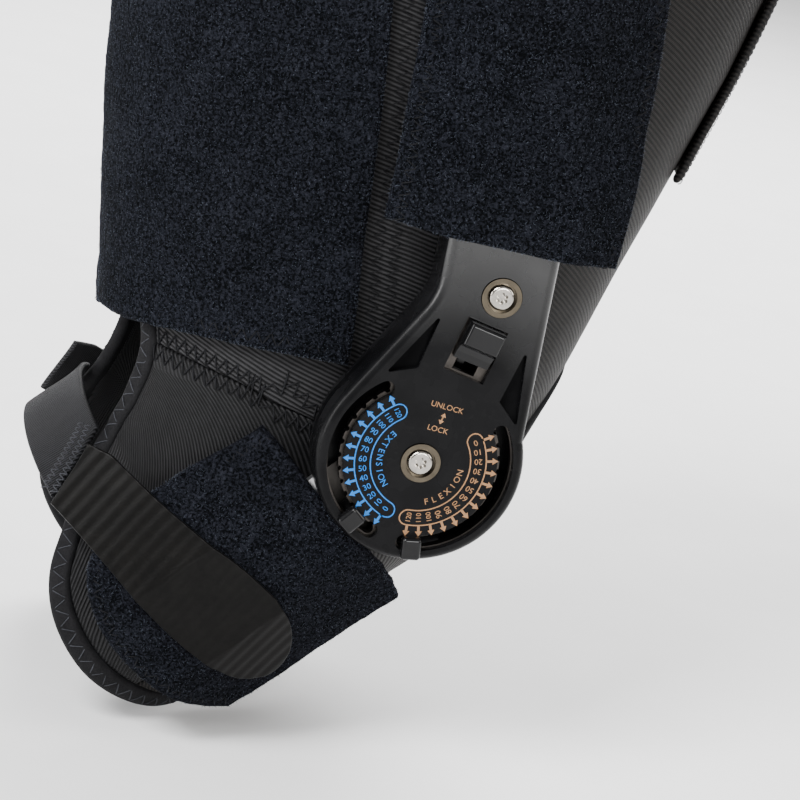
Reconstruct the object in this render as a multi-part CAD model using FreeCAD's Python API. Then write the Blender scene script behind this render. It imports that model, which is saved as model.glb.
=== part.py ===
import FreeCAD, Part
import math
import os

# Hinged knee brace for a right leg, worn shape, knee flexed.
# Millimetres. Origin on the knee axis, midway between the two hinges.
# +Z runs up the thigh, +X is the front of the knee, +Y runs along the knee axis.
# The lateral hinge is on the -Y side. "Out" below is the distance from the middle plane.

os.makedirs("parts", exist_ok=True)
V = FreeCAD.Vector

# ---------------------------------------------------------------- driving dimensions

REST_FLEXION = 45.0          # angle between thigh and calf in the stored pose
FULL_FLEXION = 120.0
LOCK_STEP = 15.0             # the lock tooth finds a notch at each of these angles
HINGE_LEAN = 15.0            # the hinge's own up direction leans this much to the front

COVER_RADIUS = 28.5
COVER_WALL = 2.2
COVER_FACE = 2.3
NECK_BACK = -4.2             # rear and front edges of the cover's neck, along X
NECK_FRONT = 27.0
NECK_KINK_HEIGHT = 46.5
NECK_TOP = 76.0
BEVEL = 3.0

HINGE_INNER = 60.0           # inner face of the back cover
BACK_COVER = 2.0
ARM_THICK = 2.5
WASHER_THICK = 0.4
STOP_THICK = 1.4
PLATE_GAP = 0.1              # clearance between stacked plates
GAP = 0.05

PIVOT_RADIUS = 4.0
PIVOT_CLEARANCE = 0.06
WASHER_RADIUS = 9.5
LOWER_DISC_RADIUS = 19.5
UPPER_DISC_RADIUS = 25.4
ARM_WIDTH = 22.0
UPPER_ARM_TOP = 140.0
LOWER_ARM_LENGTH = 94.0

SLOT_MIDDLE = 23.4           # radius of the stop slots' centre line
SLOT_HALF = 1.5
COVER_SLOT_MIDDLE = 23.1
COVER_SLOT_HALF = 2.2
EXTENSION_ZERO = 191.3       # clockwise from the hinge's up direction, seen from outside
FLEXION_ZERO = 46.0
SCALE_SPAN = 120.0
EXTENSION_REST = 15.0
FLEXION_REST = 115.0
STOP_PIN_RADIUS = 1.35

SCREW_OFFSET = 50.0          # pivot to arm screw, along the hinge's up direction
SCREW_RADIUS = 2.5
SCREW_HEAD_RADIUS = 3.5
CUP_RADIUS = 5.4
LOCK_TRAVEL = 4.0
LOCK_TOP = 41.6
LOCK_LENGTH = 11.0
LOCK_HALF_WIDTH = 5.0

FABRIC = 3.0                 # laminated sleeve fabric
BINDING_PROUD = 0.5          # how far the edge binding stands out of the fabric, each side
BINDING_WIDTH = 6.5
LOOP_IN = 0.6                # loop pile pieces start this far outside the fabric
LOOP_OUT = 4.2
CUFF_IN = 1.0                # the wide cuff lies a little looser
HOOK_IN = 4.5                # hook pieces lie on the loop pile
HOOK_OUT = 5.8
POCKET_SKIN = 2.4            # pocket cloth over the metal arms
THIGH_TOP = 148.0
SIDE_SPLIT = 12.0            # side panels meet the front panels here, under the hinges
KNEE_TOP = 25.0              # height of the seam across the front
CALF_SEAM = 45.0             # distance down the calf of the seam under the calf pockets
SHIN_SPLIT = -15.0           # calf side panels end this far behind the calf's middle line
TONGUE_END = 112.0
PATELLA_RADIUS = 24.0
STRAP_WIDTH = 24.0
POCKET_MOUTH = 63.0          # height of the thigh pockets' open lower edge
CALF_MOUTH = 29.6            # distance down the calf of the calf pockets' open edge
SECTION_POWER = 2.2          # 2 is an ellipse; more has flatter sides

# ---------------------------------------------------------------- stack of the hinge

BACK_TOP = HINGE_INNER + BACK_COVER
LOWER_IN = BACK_TOP + 0.2
LOWER_OUT = LOWER_IN + ARM_THICK
INNER_WASHER_IN = LOWER_OUT + GAP
EXTENSION_IN = INNER_WASHER_IN + WASHER_THICK + GAP
EXTENSION_OUT = EXTENSION_IN + STOP_THICK
FLEXION_IN = EXTENSION_OUT + PLATE_GAP
FLEXION_OUT = FLEXION_IN + STOP_THICK
OUTER_WASHER_IN = FLEXION_OUT + GAP
UPPER_IN = OUTER_WASHER_IN + WASHER_THICK + GAP
UPPER_OUT = UPPER_IN + ARM_THICK
FACE_IN = UPPER_OUT + PLATE_GAP
FACE_OUT = FACE_IN + COVER_FACE
WALL_CLEAR = LOWER_OUT + 0.3

# ---------------------------------------------------------------- small helpers


def turn(degrees):
    """Sine and cosine of an angle in degrees."""
    return math.sin(math.radians(degrees)), math.cos(math.radians(degrees))


def polar(radius, degrees):
    """A point in the hinge plane, clockwise from the hinge's up direction."""
    s, c = turn(HINGE_LEAN + degrees)
    return V(radius * s, 0, radius * c)


def prism(wire, inner, outer):
    """A wire in the XZ plane made solid between two distances out, on the lateral side."""
    face = Part.Face(wire)
    face.translate(V(0, -outer, 0))
    return face.extrude(V(0, outer - inner, 0))


def cylinder(radius, inner, outer, at=V(0, 0, 0)):
    """A round solid along Y between two distances out."""
    return Part.makeCylinder(radius, outer - inner, V(at.x, -outer, at.z), V(0, 1, 0))


def ring(radius, hole, inner, outer, at=V(0, 0, 0)):
    """A flat ring along Y."""
    return cylinder(radius, inner, outer, at).cut(cylinder(hole, inner - 1, outer + 1, at))


def line(a, b):
    return Part.makeLine(a, b)


def arc(a, middle, b):
    return Part.Arc(a, middle, b).toShape()


def polygon(points):
    """A closed wire through (x, z) points."""
    corners = [V(x, 0, z) for x, z in points]
    return Part.makePolygon(corners + corners[:1])


def tilted_box(u0, u1, w0, w1, inner, outer):
    """A box across and along the hinge's up direction."""
    box = Part.makeBox(u1 - u0, outer - inner, w1 - w0, V(u0, -outer, w0))
    box.rotate(V(0, 0, 0), V(0, 1, 0), HINGE_LEAN)
    return box


def arc_slot(middle, half, start, end):
    """A slot bent round the pivot, with round ends."""
    r_in = middle - half
    r_out = middle + half
    tip = math.degrees(half / middle)
    centre = (start + end) / 2
    return Part.Wire([
        arc(polar(r_out, start), polar(r_out, centre), polar(r_out, end)),
        arc(polar(r_out, end), polar(middle, end + tip), polar(r_in, end)),
        arc(polar(r_in, end), polar(r_in, centre), polar(r_in, start)),
        arc(polar(r_in, start), polar(middle, start - tip), polar(r_out, start)),
    ])


def rounded_bar(direction, start, end, width):
    """A flat bar's outline from start to end along a direction, with a round far end."""
    side = V(direction.z, 0, -direction.x) * (width / 2)
    near = direction * start
    far = direction * (end - width / 2)
    return Part.Wire([
        line(near - side, far - side),
        arc(far - side, direction * end, far + side),
        line(far + side, near + side),
        line(near + side, near - side),
    ])


def union(shapes):
    solid = shapes[0]
    for shape in shapes[1:]:
        solid = solid.fuse(shape)
    return solid.removeSplitter()


def mirrored(shape):
    return shape.mirror(V(0, 0, 0), V(0, 1, 0))


def save(name, shape):
    shape.exportStep("parts/" + name + ".step")


def save_pair(name, shape):
    """Both sides of the knee: the lateral piece as drawn, and its mirror image."""
    save("lateral_" + name, shape)
    save("medial_" + name, mirrored(shape))


# ---------------------------------------------------------------- hinge shells

CALF_S, CALF_C = turn(REST_FLEXION)
DOWN_CALF = V(-CALF_S, 0, -CALF_C)
BEHIND_CALF = V(-CALF_C, 0, CALF_S)


def cover_outline():
    """Teardrop: a disc whose front runs straight up into the neck and whose back tapers in."""
    front_z = math.sqrt(COVER_RADIUS ** 2 - NECK_FRONT ** 2)
    kink = V(NECK_BACK, 0, NECK_KINK_HEIGHT)
    reach = math.acos(COVER_RADIUS / kink.Length)
    angle = math.atan2(kink.z, kink.x) + reach
    touch = V(COVER_RADIUS * math.cos(angle), 0, COVER_RADIUS * math.sin(angle))
    soften = 5.0
    before = kink + (touch - kink).normalize() * soften
    after = kink + V(0, 0, soften)
    inside = kink + (before + after - kink * 2) * 0.27
    front = V(NECK_FRONT, 0, front_z)
    bottom = V(0, 0, -COVER_RADIUS)
    return Part.Wire([
        line(V(NECK_FRONT, 0, NECK_TOP), front),
        arc(front, bottom, touch),
        line(touch, before),
        arc(before, inside, after),
        line(after, V(NECK_BACK, 0, NECK_TOP)),
        line(V(NECK_BACK, 0, NECK_TOP), V(NECK_FRONT, 0, NECK_TOP)),
    ])


def screw_place():
    return polar(SCREW_OFFSET, 0)


def triangle_recess(side):
    """Lightening recess beside the lock slider; side is -1 for the back, +1 for the front."""
    depth = 1.9
    corners = [(12.6, 40.5), (12.2, 23.8), (19.6, 19.2)]
    wire = Part.makePolygon([V(side * u, 0, w) for u, w in corners + corners[:1]])
    solid = prism(wire, FACE_OUT - depth, FACE_OUT + 1)
    solid = solid.makeFillet(0.45, [e for e in solid.Edges if abs(e.tangentAt(0).y) > 0.99])
    solid.rotate(V(0, 0, 0), V(0, 1, 0), HINGE_LEAN)
    return solid


def make_front_cover():
    outline = cover_outline()
    body = prism(outline, BACK_TOP + GAP, FACE_OUT)
    rim = [e for e in body.Edges if e.BoundBox.YMax < -FACE_OUT + 0.01]
    body = body.makeFillet(BEVEL, rim)
    inner = outline.makeOffset2D(-COVER_WALL)
    body = body.cut(prism(inner, BACK_TOP - 1, FACE_IN))
    # open top for the upper arm
    body = body.cut(Part.makeBox(NECK_FRONT - NECK_BACK - 2 * COVER_WALL, FACE_IN - BACK_TOP + 1, 10,
                                 V(NECK_BACK + COVER_WALL, -FACE_IN, NECK_TOP - 5)))
    # the lower arm swings out through the wall, from straight down to right back
    far = 60.0
    swing = [(0, 0)]
    for degrees in (122, 160, 200, 250, 295):
        s, c = turn(degrees)
        swing.append((far * c, far * s))
    body = body.cut(prism(polygon(swing), BACK_TOP - 1, WALL_CLEAR))
    for zero in (EXTENSION_ZERO, FLEXION_ZERO):
        slot = arc_slot(COVER_SLOT_MIDDLE, COVER_SLOT_HALF, zero, zero + SCALE_SPAN)
        body = body.cut(prism(slot, FACE_IN - 1, FACE_OUT + 1))
    for side in (-1, 1):
        body = body.cut(triangle_recess(side))
    half = LOCK_HALF_WIDTH + 0.9
    low = LOCK_TOP - LOCK_LENGTH - LOCK_TRAVEL - 0.2
    body = body.cut(tilted_box(-half, half, low, LOCK_TOP + 0.3, FACE_IN - 1, FACE_OUT + 1))
    for place in (V(0, 0, 0), screw_place()):
        body = body.cut(cylinder(CUP_RADIUS + 0.2, FACE_IN - 1, FACE_OUT + 1, place))
    return body


def make_back_cover():
    body = prism(cover_outline(), HINGE_INNER, BACK_TOP)
    body = body.cut(cylinder(PIVOT_RADIUS + PIVOT_CLEARANCE, HINGE_INNER - 1, BACK_TOP + 1))
    return body.cut(cylinder(SCREW_RADIUS + 0.2, HINGE_INNER - 1, BACK_TOP + 1, screw_place()))


# ---------------------------------------------------------------- hinge plates and stops


def make_upper_arm():
    bar_middle = (NECK_BACK + NECK_FRONT) / 2
    bar = prism(rounded_bar(V(0, 0, 1), 0, UPPER_ARM_TOP, ARM_WIDTH), UPPER_IN, UPPER_OUT)
    bar.translate(V(bar_middle, 0, 0))
    body = union([cylinder(UPPER_DISC_RADIUS, UPPER_IN, UPPER_OUT), bar])
    inside = prism(cover_outline().makeOffset2D(-COVER_WALL - 0.2), UPPER_IN - 1, UPPER_OUT + 1)
    above = Part.makeBox(60, 20, 100, V(-20, -UPPER_OUT - 5, NECK_TOP - 6))
    body = body.common(union([inside, above]))
    for zero in (EXTENSION_ZERO, FLEXION_ZERO):
        slot = arc_slot(SLOT_MIDDLE, SLOT_HALF, zero, zero + SCALE_SPAN)
        body = body.cut(prism(slot, UPPER_IN - 1, UPPER_OUT + 1))
        # click notches for the stop, every ten degrees
        for mark in range(0, int(SCALE_SPAN) + 1, 10):
            place = polar(SLOT_MIDDLE - SLOT_HALF, zero + mark)
            body = body.cut(cylinder(0.75, UPPER_IN - 1, UPPER_OUT + 1, place))
    body = body.cut(tilted_box(-3.2, 3.2, 26.9, 41.5, UPPER_IN - 1, UPPER_OUT + 1))
    body = body.cut(cylinder(PIVOT_RADIUS + PIVOT_CLEARANCE, UPPER_IN - 1, UPPER_OUT + 1))
    body = body.cut(cylinder(SCREW_RADIUS + 0.2, UPPER_IN - 1, UPPER_OUT + 1, screw_place()))
    for height in (96, 112, 128):
        body = body.cut(cylinder(2.6, UPPER_IN - 1, UPPER_OUT + 1, V(bar_middle, 0, height)))
    return body


def make_lower_arm():
    bar = prism(rounded_bar(DOWN_CALF, 0, LOWER_ARM_LENGTH, ARM_WIDTH), LOWER_IN, LOWER_OUT)
    body = union([cylinder(LOWER_DISC_RADIUS, LOWER_IN, LOWER_OUT), bar])
    body = body.cut(cylinder(PIVOT_RADIUS + PIVOT_CLEARANCE, LOWER_IN - 1, LOWER_OUT + 1))
    # one lock notch for each step of flexion
    for step in range(int(FULL_FLEXION / LOCK_STEP) + 1):
        notch = Part.makeBox(2.4, ARM_THICK + 2, 6, V(-1.2, -LOWER_OUT - 1, 16.3))
        angle = REST_FLEXION - step * LOCK_STEP
        notch.rotate(V(0, 0, 0), V(0, 1, 0), HINGE_LEAN + angle)
        body = body.cut(notch)
    for distance in (44, 62, 80):
        body = body.cut(cylinder(2.6, LOWER_IN - 1, LOWER_OUT + 1, DOWN_CALF * distance))
    return body


def make_stop(inner, outer, degrees):
    """A stop: a ring on the pivot, a lever, and a pin that carries the thumb block outside."""
    hub = cylinder(9.0, inner, outer)
    lever = Part.makeBox(5.0, outer - inner, SLOT_MIDDLE + 1.3, V(-2.5, -outer, 0))
    nose = Part.makeBox(5.0, outer - EXTENSION_IN, 3.4, V(-2.5, -outer, SLOT_MIDDLE - 2.1))
    outer = FACE_OUT + 1
    pin = Part.makeCylinder(STOP_PIN_RADIUS, outer - inner, V(0, -outer, SLOT_MIDDLE), V(0, 1, 0))
    block = Part.makeBox(5.4, 2.6, 6.4, V(-2.7, -FACE_OUT - 2.75, SLOT_MIDDLE - 2.6))
    block = block.makeFillet(1.1, [e for e in block.Edges if e.BoundBox.YMin < -FACE_OUT - 0.2])
    solid = union([hub, lever, nose, pin, block])
    solid = solid.cut(cylinder(PIVOT_RADIUS + PIVOT_CLEARANCE, inner - 1, outer + 1))
    solid.rotate(V(0, 0, 0), V(0, 1, 0), HINGE_LEAN + degrees)
    return solid


def make_washers():
    """Thin wear washers either side of the two stops."""
    pieces = []
    for inner in (INNER_WASHER_IN, OUTER_WASHER_IN):
        pieces.append(ring(WASHER_RADIUS, PIVOT_RADIUS + PIVOT_CLEARANCE, inner, inner + WASHER_THICK))
    return Part.makeCompound(pieces)


def make_lock_slider():
    """Thumb block, stem, retaining flange and the tooth that enters the lower arm's notches."""
    bottom = LOCK_TOP - LOCK_LENGTH
    low = FACE_IN + 0.1
    high = FACE_OUT + 4.2
    outline = [(low, bottom), (FACE_OUT + 0.6, bottom), (FACE_OUT + 0.9, bottom + 2.0),
               (FACE_OUT + 2.0, bottom + 3.8), (high, bottom + 5.0), (high, LOCK_TOP), (low, LOCK_TOP)]
    corners = [V(-LOCK_HALF_WIDTH, -out, up) for out, up in outline]
    profile = Part.makePolygon(corners + corners[:1])
    block = Part.Face(profile).extrude(V(2 * LOCK_HALF_WIDTH, 0, 0))
    top_edges = [e for e in block.Edges if e.BoundBox.YMax < -high + 0.05]
    block = block.makeFillet(0.9, top_edges)
    block.rotate(V(0, 0, 0), V(0, 1, 0), HINGE_LEAN)
    stem = tilted_box(-2.9, 2.9, bottom + 0.5, LOCK_TOP - 0.4, UPPER_IN - 0.2, low)
    flange = tilted_box(-5.0, 5.0, bottom + 0.5, LOCK_TOP - 0.4, UPPER_IN - 1.8, UPPER_IN - 0.2)
    link = tilted_box(-2.9, 2.9, bottom + 0.5, bottom + 5.5, LOWER_OUT - 0.2, UPPER_IN - 1.8)
    tooth = tilted_box(-1.0, 1.0, LOWER_DISC_RADIUS + 1.1, bottom + 5.5, LOWER_IN + 0.2, LOWER_OUT - 0.2)
    return union([block, stem, flange, link, tooth])


def make_lock_spring():
    """Bent spring strip beside the slider's flange, which holds it up or down."""
    path = [(6.6, 27.5), (5.3, 33.0), (5.3, 35.0), (6.6, 43.0)]
    strip = path + [(u + 0.5, w) for u, w in reversed(path)]
    solid = prism(polygon(strip), UPPER_IN - 2.4, UPPER_IN - 0.4)
    solid.rotate(V(0, 0, 0), V(0, 1, 0), HINGE_LEAN)
    return solid


# ---------------------------------------------------------------- hinge fasteners


def make_cup(place):
    """Brass cup washer that the screw head sits in."""
    floor = ring(CUP_RADIUS, SCREW_RADIUS + 0.1, UPPER_OUT + 0.2, UPPER_OUT + 1.0, place)
    rim = ring(CUP_RADIUS, CUP_RADIUS - 1.3, UPPER_OUT + 0.9, FACE_OUT + 0.4, place)
    return union([floor, rim])


def make_screw(place, tip):
    """Round-headed screw with a six-lobe recess."""
    seat = UPPER_OUT + 1.05
    head_top = FACE_OUT + 0.5
    head = cylinder(SCREW_HEAD_RADIUS, seat, head_top, place)
    crown = [e for e in head.Edges if e.BoundBox.YMax < -head_top + 0.01]
    head = head.makeFillet(1.0, crown)
    shank = cylinder(SCREW_RADIUS - 0.02, tip, seat + 0.1, place)
    body = union([head, shank])
    for lobe in range(6):
        s, c = turn(60 * lobe)
        hole = cylinder(0.55, head_top - 1.3, head_top + 1, place + V(1.15 * s, 0, 1.15 * c))
        body = body.cut(hole)
    return body.cut(cylinder(0.9, head_top - 1.3, head_top + 1, place))


def make_barrel():
    """Flanged pivot barrel, pushed through from the leg side; the pivot screw fills it."""
    flange = cylinder(7.0, HINGE_INNER - 0.9, HINGE_INNER - GAP)
    tube = cylinder(PIVOT_RADIUS, HINGE_INNER - 0.9, UPPER_OUT + 0.1)
    return union([flange, tube]).cut(cylinder(SCREW_RADIUS, HINGE_INNER + 1, UPPER_OUT + 2))


def make_arm_nut():
    """Low flanged nut on the leg side, threaded on the arm screw."""
    place = screw_place()
    body = cylinder(5.0, HINGE_INNER - 0.9, HINGE_INNER - GAP, place)
    return body.cut(cylinder(SCREW_RADIUS, HINGE_INNER - 0.5, HINGE_INNER + 1, place))


def make_spacer():
    return ring(5.0, SCREW_RADIUS + 0.1, BACK_TOP + GAP, UPPER_IN - GAP, screw_place())


def make_hinges():
    save_pair("hinge_front_cover", make_front_cover())
    save_pair("hinge_back_cover", make_back_cover())
    save_pair("upper_arm", make_upper_arm())
    save_pair("lower_arm", make_lower_arm())
    save_pair("extension_stop", make_stop(EXTENSION_IN, EXTENSION_OUT, EXTENSION_ZERO + EXTENSION_REST))
    save_pair("flexion_stop", make_stop(FLEXION_IN, FLEXION_OUT, FLEXION_ZERO + FLEXION_REST))
    save_pair("wear_washers", make_washers())
    save_pair("lock_slider", make_lock_slider())
    save_pair("lock_spring", make_lock_spring())
    save_pair("pivot_barrel", make_barrel())
    save_pair("pivot_screw", make_screw(V(0, 0, 0), HINGE_INNER + 1.1))
    save_pair("arm_screw", make_screw(screw_place(), HINGE_INNER - 0.4))
    cups = [make_cup(V(0, 0, 0)), make_cup(screw_place())]
    save_pair("cup_washers", Part.makeCompound(cups))
    save_pair("arm_nut", make_arm_nut())
    save_pair("neck_spacer", make_spacer())


# ---------------------------------------------------------------- the leg's shape

REAR_FAN = V(-100, 0, 5)     # the sections round the knee all pass through this line


def level_section(height, back, front, half_width):
    """A section across the thigh."""
    return V((back + front) / 2, 0, height), V(1, 0, 0), (front - back) / 2, half_width


def fan_section(degrees, back, front, half_width):
    """A section round the bent knee, tilted down at the front."""
    s, c = turn(degrees)
    forward = V(c, 0, -s)
    return REAR_FAN + forward * ((back + front) / 2), forward, (front - back) / 2, half_width


def calf_point(down, behind):
    """A point in the middle plane, down the calf and behind its middle line."""
    return DOWN_CALF * down + BEHIND_CALF * behind


def calf_section(down, behind, ahead, half_width):
    """A section across the calf."""
    middle = calf_point(down, (behind + ahead) / 2)
    return middle, BEHIND_CALF * -1, (behind - ahead) / 2, half_width


LEG = [
    level_section(156, -95.9, 91.5, 64.3),
    level_section(110, -91.9, 80, 61.0),
    level_section(55, -87, 62.4, 57.0),
    fan_section(0, 17.5, 146, 55.6),
    fan_section(15, 18, 136.5, 56.3),
    fan_section(30, 20, 122.5, 56.6),
    calf_section(67, 52, -44, 56.6),
    calf_section(93, 50.6, -41.4, 55.2),
    calf_section(122, 46.5, -37.5, 52),
]


def section_wire(section, offset):
    """A closed smooth wire round the leg; offset grows it outwards."""
    centre, forward, half_depth, half_width = section
    points = []
    count = 28
    parameters = [i / count for i in range(count + 1)]       # alike on every section
    for i in range(count):
        s, c = turn(360 * i / count)
        along = math.copysign(abs(c) ** (2 / SECTION_POWER), c) * (half_depth + offset)
        across = math.copysign(abs(s) ** (2 / SECTION_POWER), s) * (half_width + offset)
        points.append(centre + forward * along + V(0, across, 0))
    curve = Part.BSplineCurve()
    curve.interpolate(Points=points, PeriodicFlag=True, Parameters=parameters)
    return Part.Wire([curve.toShape()])


LEG_SOLIDS = {}


def leg_solid(offset):
    """The leg's shape grown by an offset; each offset is lofted once."""
    if offset not in LEG_SOLIDS:
        wires = [section_wire(section, offset) for section in LEG]
        LEG_SOLIDS[offset] = Part.makeLoft(wires, True, False)
    return LEG_SOLIDS[offset]


def piece(region, inner, outer):
    """The part of a region between two offsets of the leg's surface."""
    return leg_solid(outer).common(region).cut(leg_solid(inner))


def wall(points, start=-90, end=90):
    """A prism along Y, from points in the middle plane."""
    flat = [V(p.x, 0, p.z) for p in points]
    face = Part.Face(Part.makePolygon(flat + flat[:1]))
    face.translate(V(0, start, 0))
    return face.extrude(V(0, end - start, 0))


def lateral_wall(points):
    return wall(points, -90, 0)

# ---------------------------------------------------------------- sleeve panels

KNEE_CORNER = V(SIDE_SPLIT, 0, -10.6)
SEAM_MIDDLE = V(-23, 0, 1)
SEAM_BACK = V(-76, 0, 12)
KNEE_FRONT = V(turn(75)[0], 0, -turn(75)[1])     # the way the kneecap faces


def edge_region(inset, start, end):
    """Everything inside the bound rear and lower edges of the sleeve, moved in by inset."""
    corners = [
        V(160, 0, 80), V(-76, 0, 80), SEAM_BACK, V(-76, 0, 2), V(-81.5, 0, -16), V(-89, 0, -37),
        V(-93.5, 0, -52), V(-91.5, 0, -61), calf_point(TONGUE_END - 1, 8),
        calf_point(TONGUE_END - 1, -9), calf_point(TONGUE_END - 6, -26),
        calf_point(TONGUE_END - 14, -44), calf_point(TONGUE_END - 14, -150), V(160, 0, -150),
    ]
    face = Part.Face(Part.makePolygon(corners + corners[:1]))
    if inset:
        face = face.makeOffset2D(-inset)
    face.translate(V(0, start, 0))
    return face.extrude(V(0, end - start, 0))


def shin_arch(extra):
    """The lower edge rises over the shin between the two tongues."""
    return Part.makeCylinder(44 + extra, 90, calf_point(TONGUE_END + 4, -20), BEHIND_CALF * -1)


def opening(extra):
    """The hole over the kneecap."""
    return Part.makeCylinder(PATELLA_RADIUS + extra, 90, KNEE_FRONT * 5, KNEE_FRONT)


def make_panels():
    panel_top = THIGH_TOP - BINDING_WIDTH
    side = lateral_wall([V(SIDE_SPLIT, 0, panel_top), KNEE_CORNER, SEAM_MIDDLE, SEAM_BACK,
                         V(-79, 0, 20), V(-62, 0, 40), V(-62, 0, panel_top)])
    save_pair("thigh_panel", piece(side, -FABRIC, 0))
    front = wall([V(SIDE_SPLIT, 0, panel_top), V(SIDE_SPLIT, 0, KNEE_TOP),
                  V(130, 0, KNEE_TOP), V(130, 0, panel_top)])
    save("thigh_front_panel", piece(front, -FABRIC, 0))
    inside = edge_region(BINDING_WIDTH, -90, 0)
    gusset = lateral_wall([KNEE_CORNER, SEAM_MIDDLE, SEAM_BACK, V(-110, 0, 12), V(-110, 0, -10),
                           calf_point(CALF_SEAM, 75), calf_point(CALF_SEAM, SHIN_SPLIT),
                           calf_point(30, SHIN_SPLIT)])
    save_pair("knee_gusset", piece(gusset.common(inside), -FABRIC, 0))
    calf_side = lateral_wall([calf_point(CALF_SEAM, 75), calf_point(CALF_SEAM, SHIN_SPLIT),
                              calf_point(140, SHIN_SPLIT), calf_point(140, 75)])
    save_pair("calf_panel", piece(calf_side.common(inside), -FABRIC, 0))
    knee_front = wall([V(SIDE_SPLIT, 0, KNEE_TOP), V(110, 0, KNEE_TOP), V(110, 0, -60),
                       calf_point(CALF_SEAM, -80), calf_point(CALF_SEAM, SHIN_SPLIT),
                       calf_point(30, SHIN_SPLIT), KNEE_CORNER])
    save("knee_front_panel", piece(knee_front.cut(opening(BINDING_WIDTH)), -FABRIC, 0))
    rim = opening(BINDING_WIDTH).cut(opening(0))
    save("patella_ring", piece(rim, -FABRIC - 1.5, BINDING_PROUD))
    shin = wall([calf_point(CALF_SEAM, SHIN_SPLIT), calf_point(CALF_SEAM, -80),
                 calf_point(TONGUE_END, -80), calf_point(TONGUE_END, SHIN_SPLIT)])
    shin = shin.common(edge_region(BINDING_WIDTH, -90, 90)).cut(shin_arch(BINDING_WIDTH))
    save("shin_panel", piece(shin, -FABRIC, 0))


def make_bindings():
    proud = BINDING_PROUD
    band = edge_region(0, -90, 0).cut(edge_region(BINDING_WIDTH, -91, 1))
    below = lateral_wall([V(-110, 0, 12), SEAM_BACK, SEAM_MIDDLE, calf_point(20, SHIN_SPLIT),
                          calf_point(TONGUE_END + 2, SHIN_SPLIT), calf_point(TONGUE_END + 2, 90)])
    save_pair("edge_binding", piece(band.common(below), -FABRIC - proud, proud))
    front = wall([calf_point(CALF_SEAM, SHIN_SPLIT), calf_point(CALF_SEAM, -80),
                  calf_point(TONGUE_END, -80), calf_point(TONGUE_END, SHIN_SPLIT)])
    outline = edge_region(0, -90, 90).common(front).cut(shin_arch(0))
    inner = edge_region(BINDING_WIDTH, -91, 91).cut(shin_arch(BINDING_WIDTH))
    save("shin_binding", piece(outline.cut(inner), -FABRIC - proud, proud))
    rim = Part.makeBox(200, 200, BINDING_WIDTH, V(-62, -100, THIGH_TOP - BINDING_WIDTH))
    save("thigh_top_binding", piece(rim, -FABRIC - proud, proud))


# ---------------------------------------------------------------- cuff, pockets and straps


def thigh_hump(extra):
    """The raised shape of the thigh pocket over the cover's neck and the upper arm."""
    neck_top = FACE_OUT + POCKET_SKIN + extra
    arm_top = UPPER_OUT + POCKET_SKIN + extra
    middle = (NECK_BACK + NECK_FRONT) / 2
    neck_width = NECK_FRONT - NECK_BACK + 7
    arm_width = ARM_WIDTH + 8
    neck = Part.makeBox(neck_width, neck_top - 40, 24, V(middle - neck_width / 2, -neck_top, POCKET_MOUTH))
    arm = Part.makeBox(arm_width, arm_top - 40, THIGH_TOP - 1 - POCKET_MOUTH,
                       V(middle - arm_width / 2, -arm_top, POCKET_MOUTH))
    return union([neck, arm])


def calf_hump(extra):
    """The raised shape of the calf pocket over the lower arm."""
    bar = rounded_bar(DOWN_CALF, CALF_MOUTH, LOWER_ARM_LENGTH + 4 + extra, ARM_WIDTH + 7 + 2 * extra)
    return prism(bar, 30, LOWER_OUT + POCKET_SKIN + extra)


def over_hump(region, hump, inner, outer):
    """A cloth piece on the leg's surface that also rises over a hump."""
    lift = outer - inner
    flat = piece(region, inner, outer).cut(hump(inner - LOOP_OUT))
    raised = hump(outer - LOOP_OUT).cut(hump(inner - LOOP_OUT)).common(region)
    return union([flat, raised.cut(leg_solid(outer - lift / 2))])


def calf_pocket_outline():
    """Straight mouth facing the hinge, straight sides and a round lower end."""
    half = 30.0
    end = 101.0
    return Part.Wire([
        line(calf_point(CALF_MOUTH, -half), calf_point(CALF_MOUTH, half)),
        line(calf_point(CALF_MOUTH, half), calf_point(end - half, half)),
        arc(calf_point(end - half, half), calf_point(end, 0), calf_point(end - half, -half)),
        line(calf_point(end - half, -half), calf_point(CALF_MOUTH, -half)),
    ])


def make_pocket(region, hump, slots):
    """Loop cloth on the sleeve, raised over a metal arm, with a slot for the arm."""
    flat = piece(region, LOOP_IN, LOOP_OUT)
    raised = hump(0).common(region).cut(leg_solid(LOOP_IN + 1))
    pocket = union([flat, raised])
    for slot in slots:
        pocket = pocket.cut(slot)
    return pocket


def make_pockets():
    panel = Part.makeBox(61.8, 90, THIGH_TOP - POCKET_MOUTH, V(-20.8, -90, POCKET_MOUTH))
    neck = Part.makeBox(NECK_FRONT - NECK_BACK + 1, 30, NECK_TOP + 1.5 - POCKET_MOUTH,
                        V(NECK_BACK - 0.5, -FACE_OUT - 0.1, POCKET_MOUTH - 1))
    slot = rounded_bar(V(0, 0, 1), 40, UPPER_ARM_TOP + 0.5, ARM_WIDTH + 0.6)
    arm = prism(slot, UPPER_IN - 0.2, UPPER_OUT + 0.2)
    arm.translate(V((NECK_BACK + NECK_FRONT) / 2, 0, 0))
    save_pair("thigh_pocket", make_pocket(panel, thigh_hump, [neck, arm]))
    panel = prism(calf_pocket_outline(), 1, 90)
    slot = rounded_bar(DOWN_CALF, 20, LOWER_ARM_LENGTH + 0.5, ARM_WIDTH + 0.6)
    arm = prism(slot, LOWER_IN - 0.2, LOWER_OUT + 0.2)
    save_pair("calf_pocket", make_pocket(panel, calf_hump, [arm]))


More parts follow.
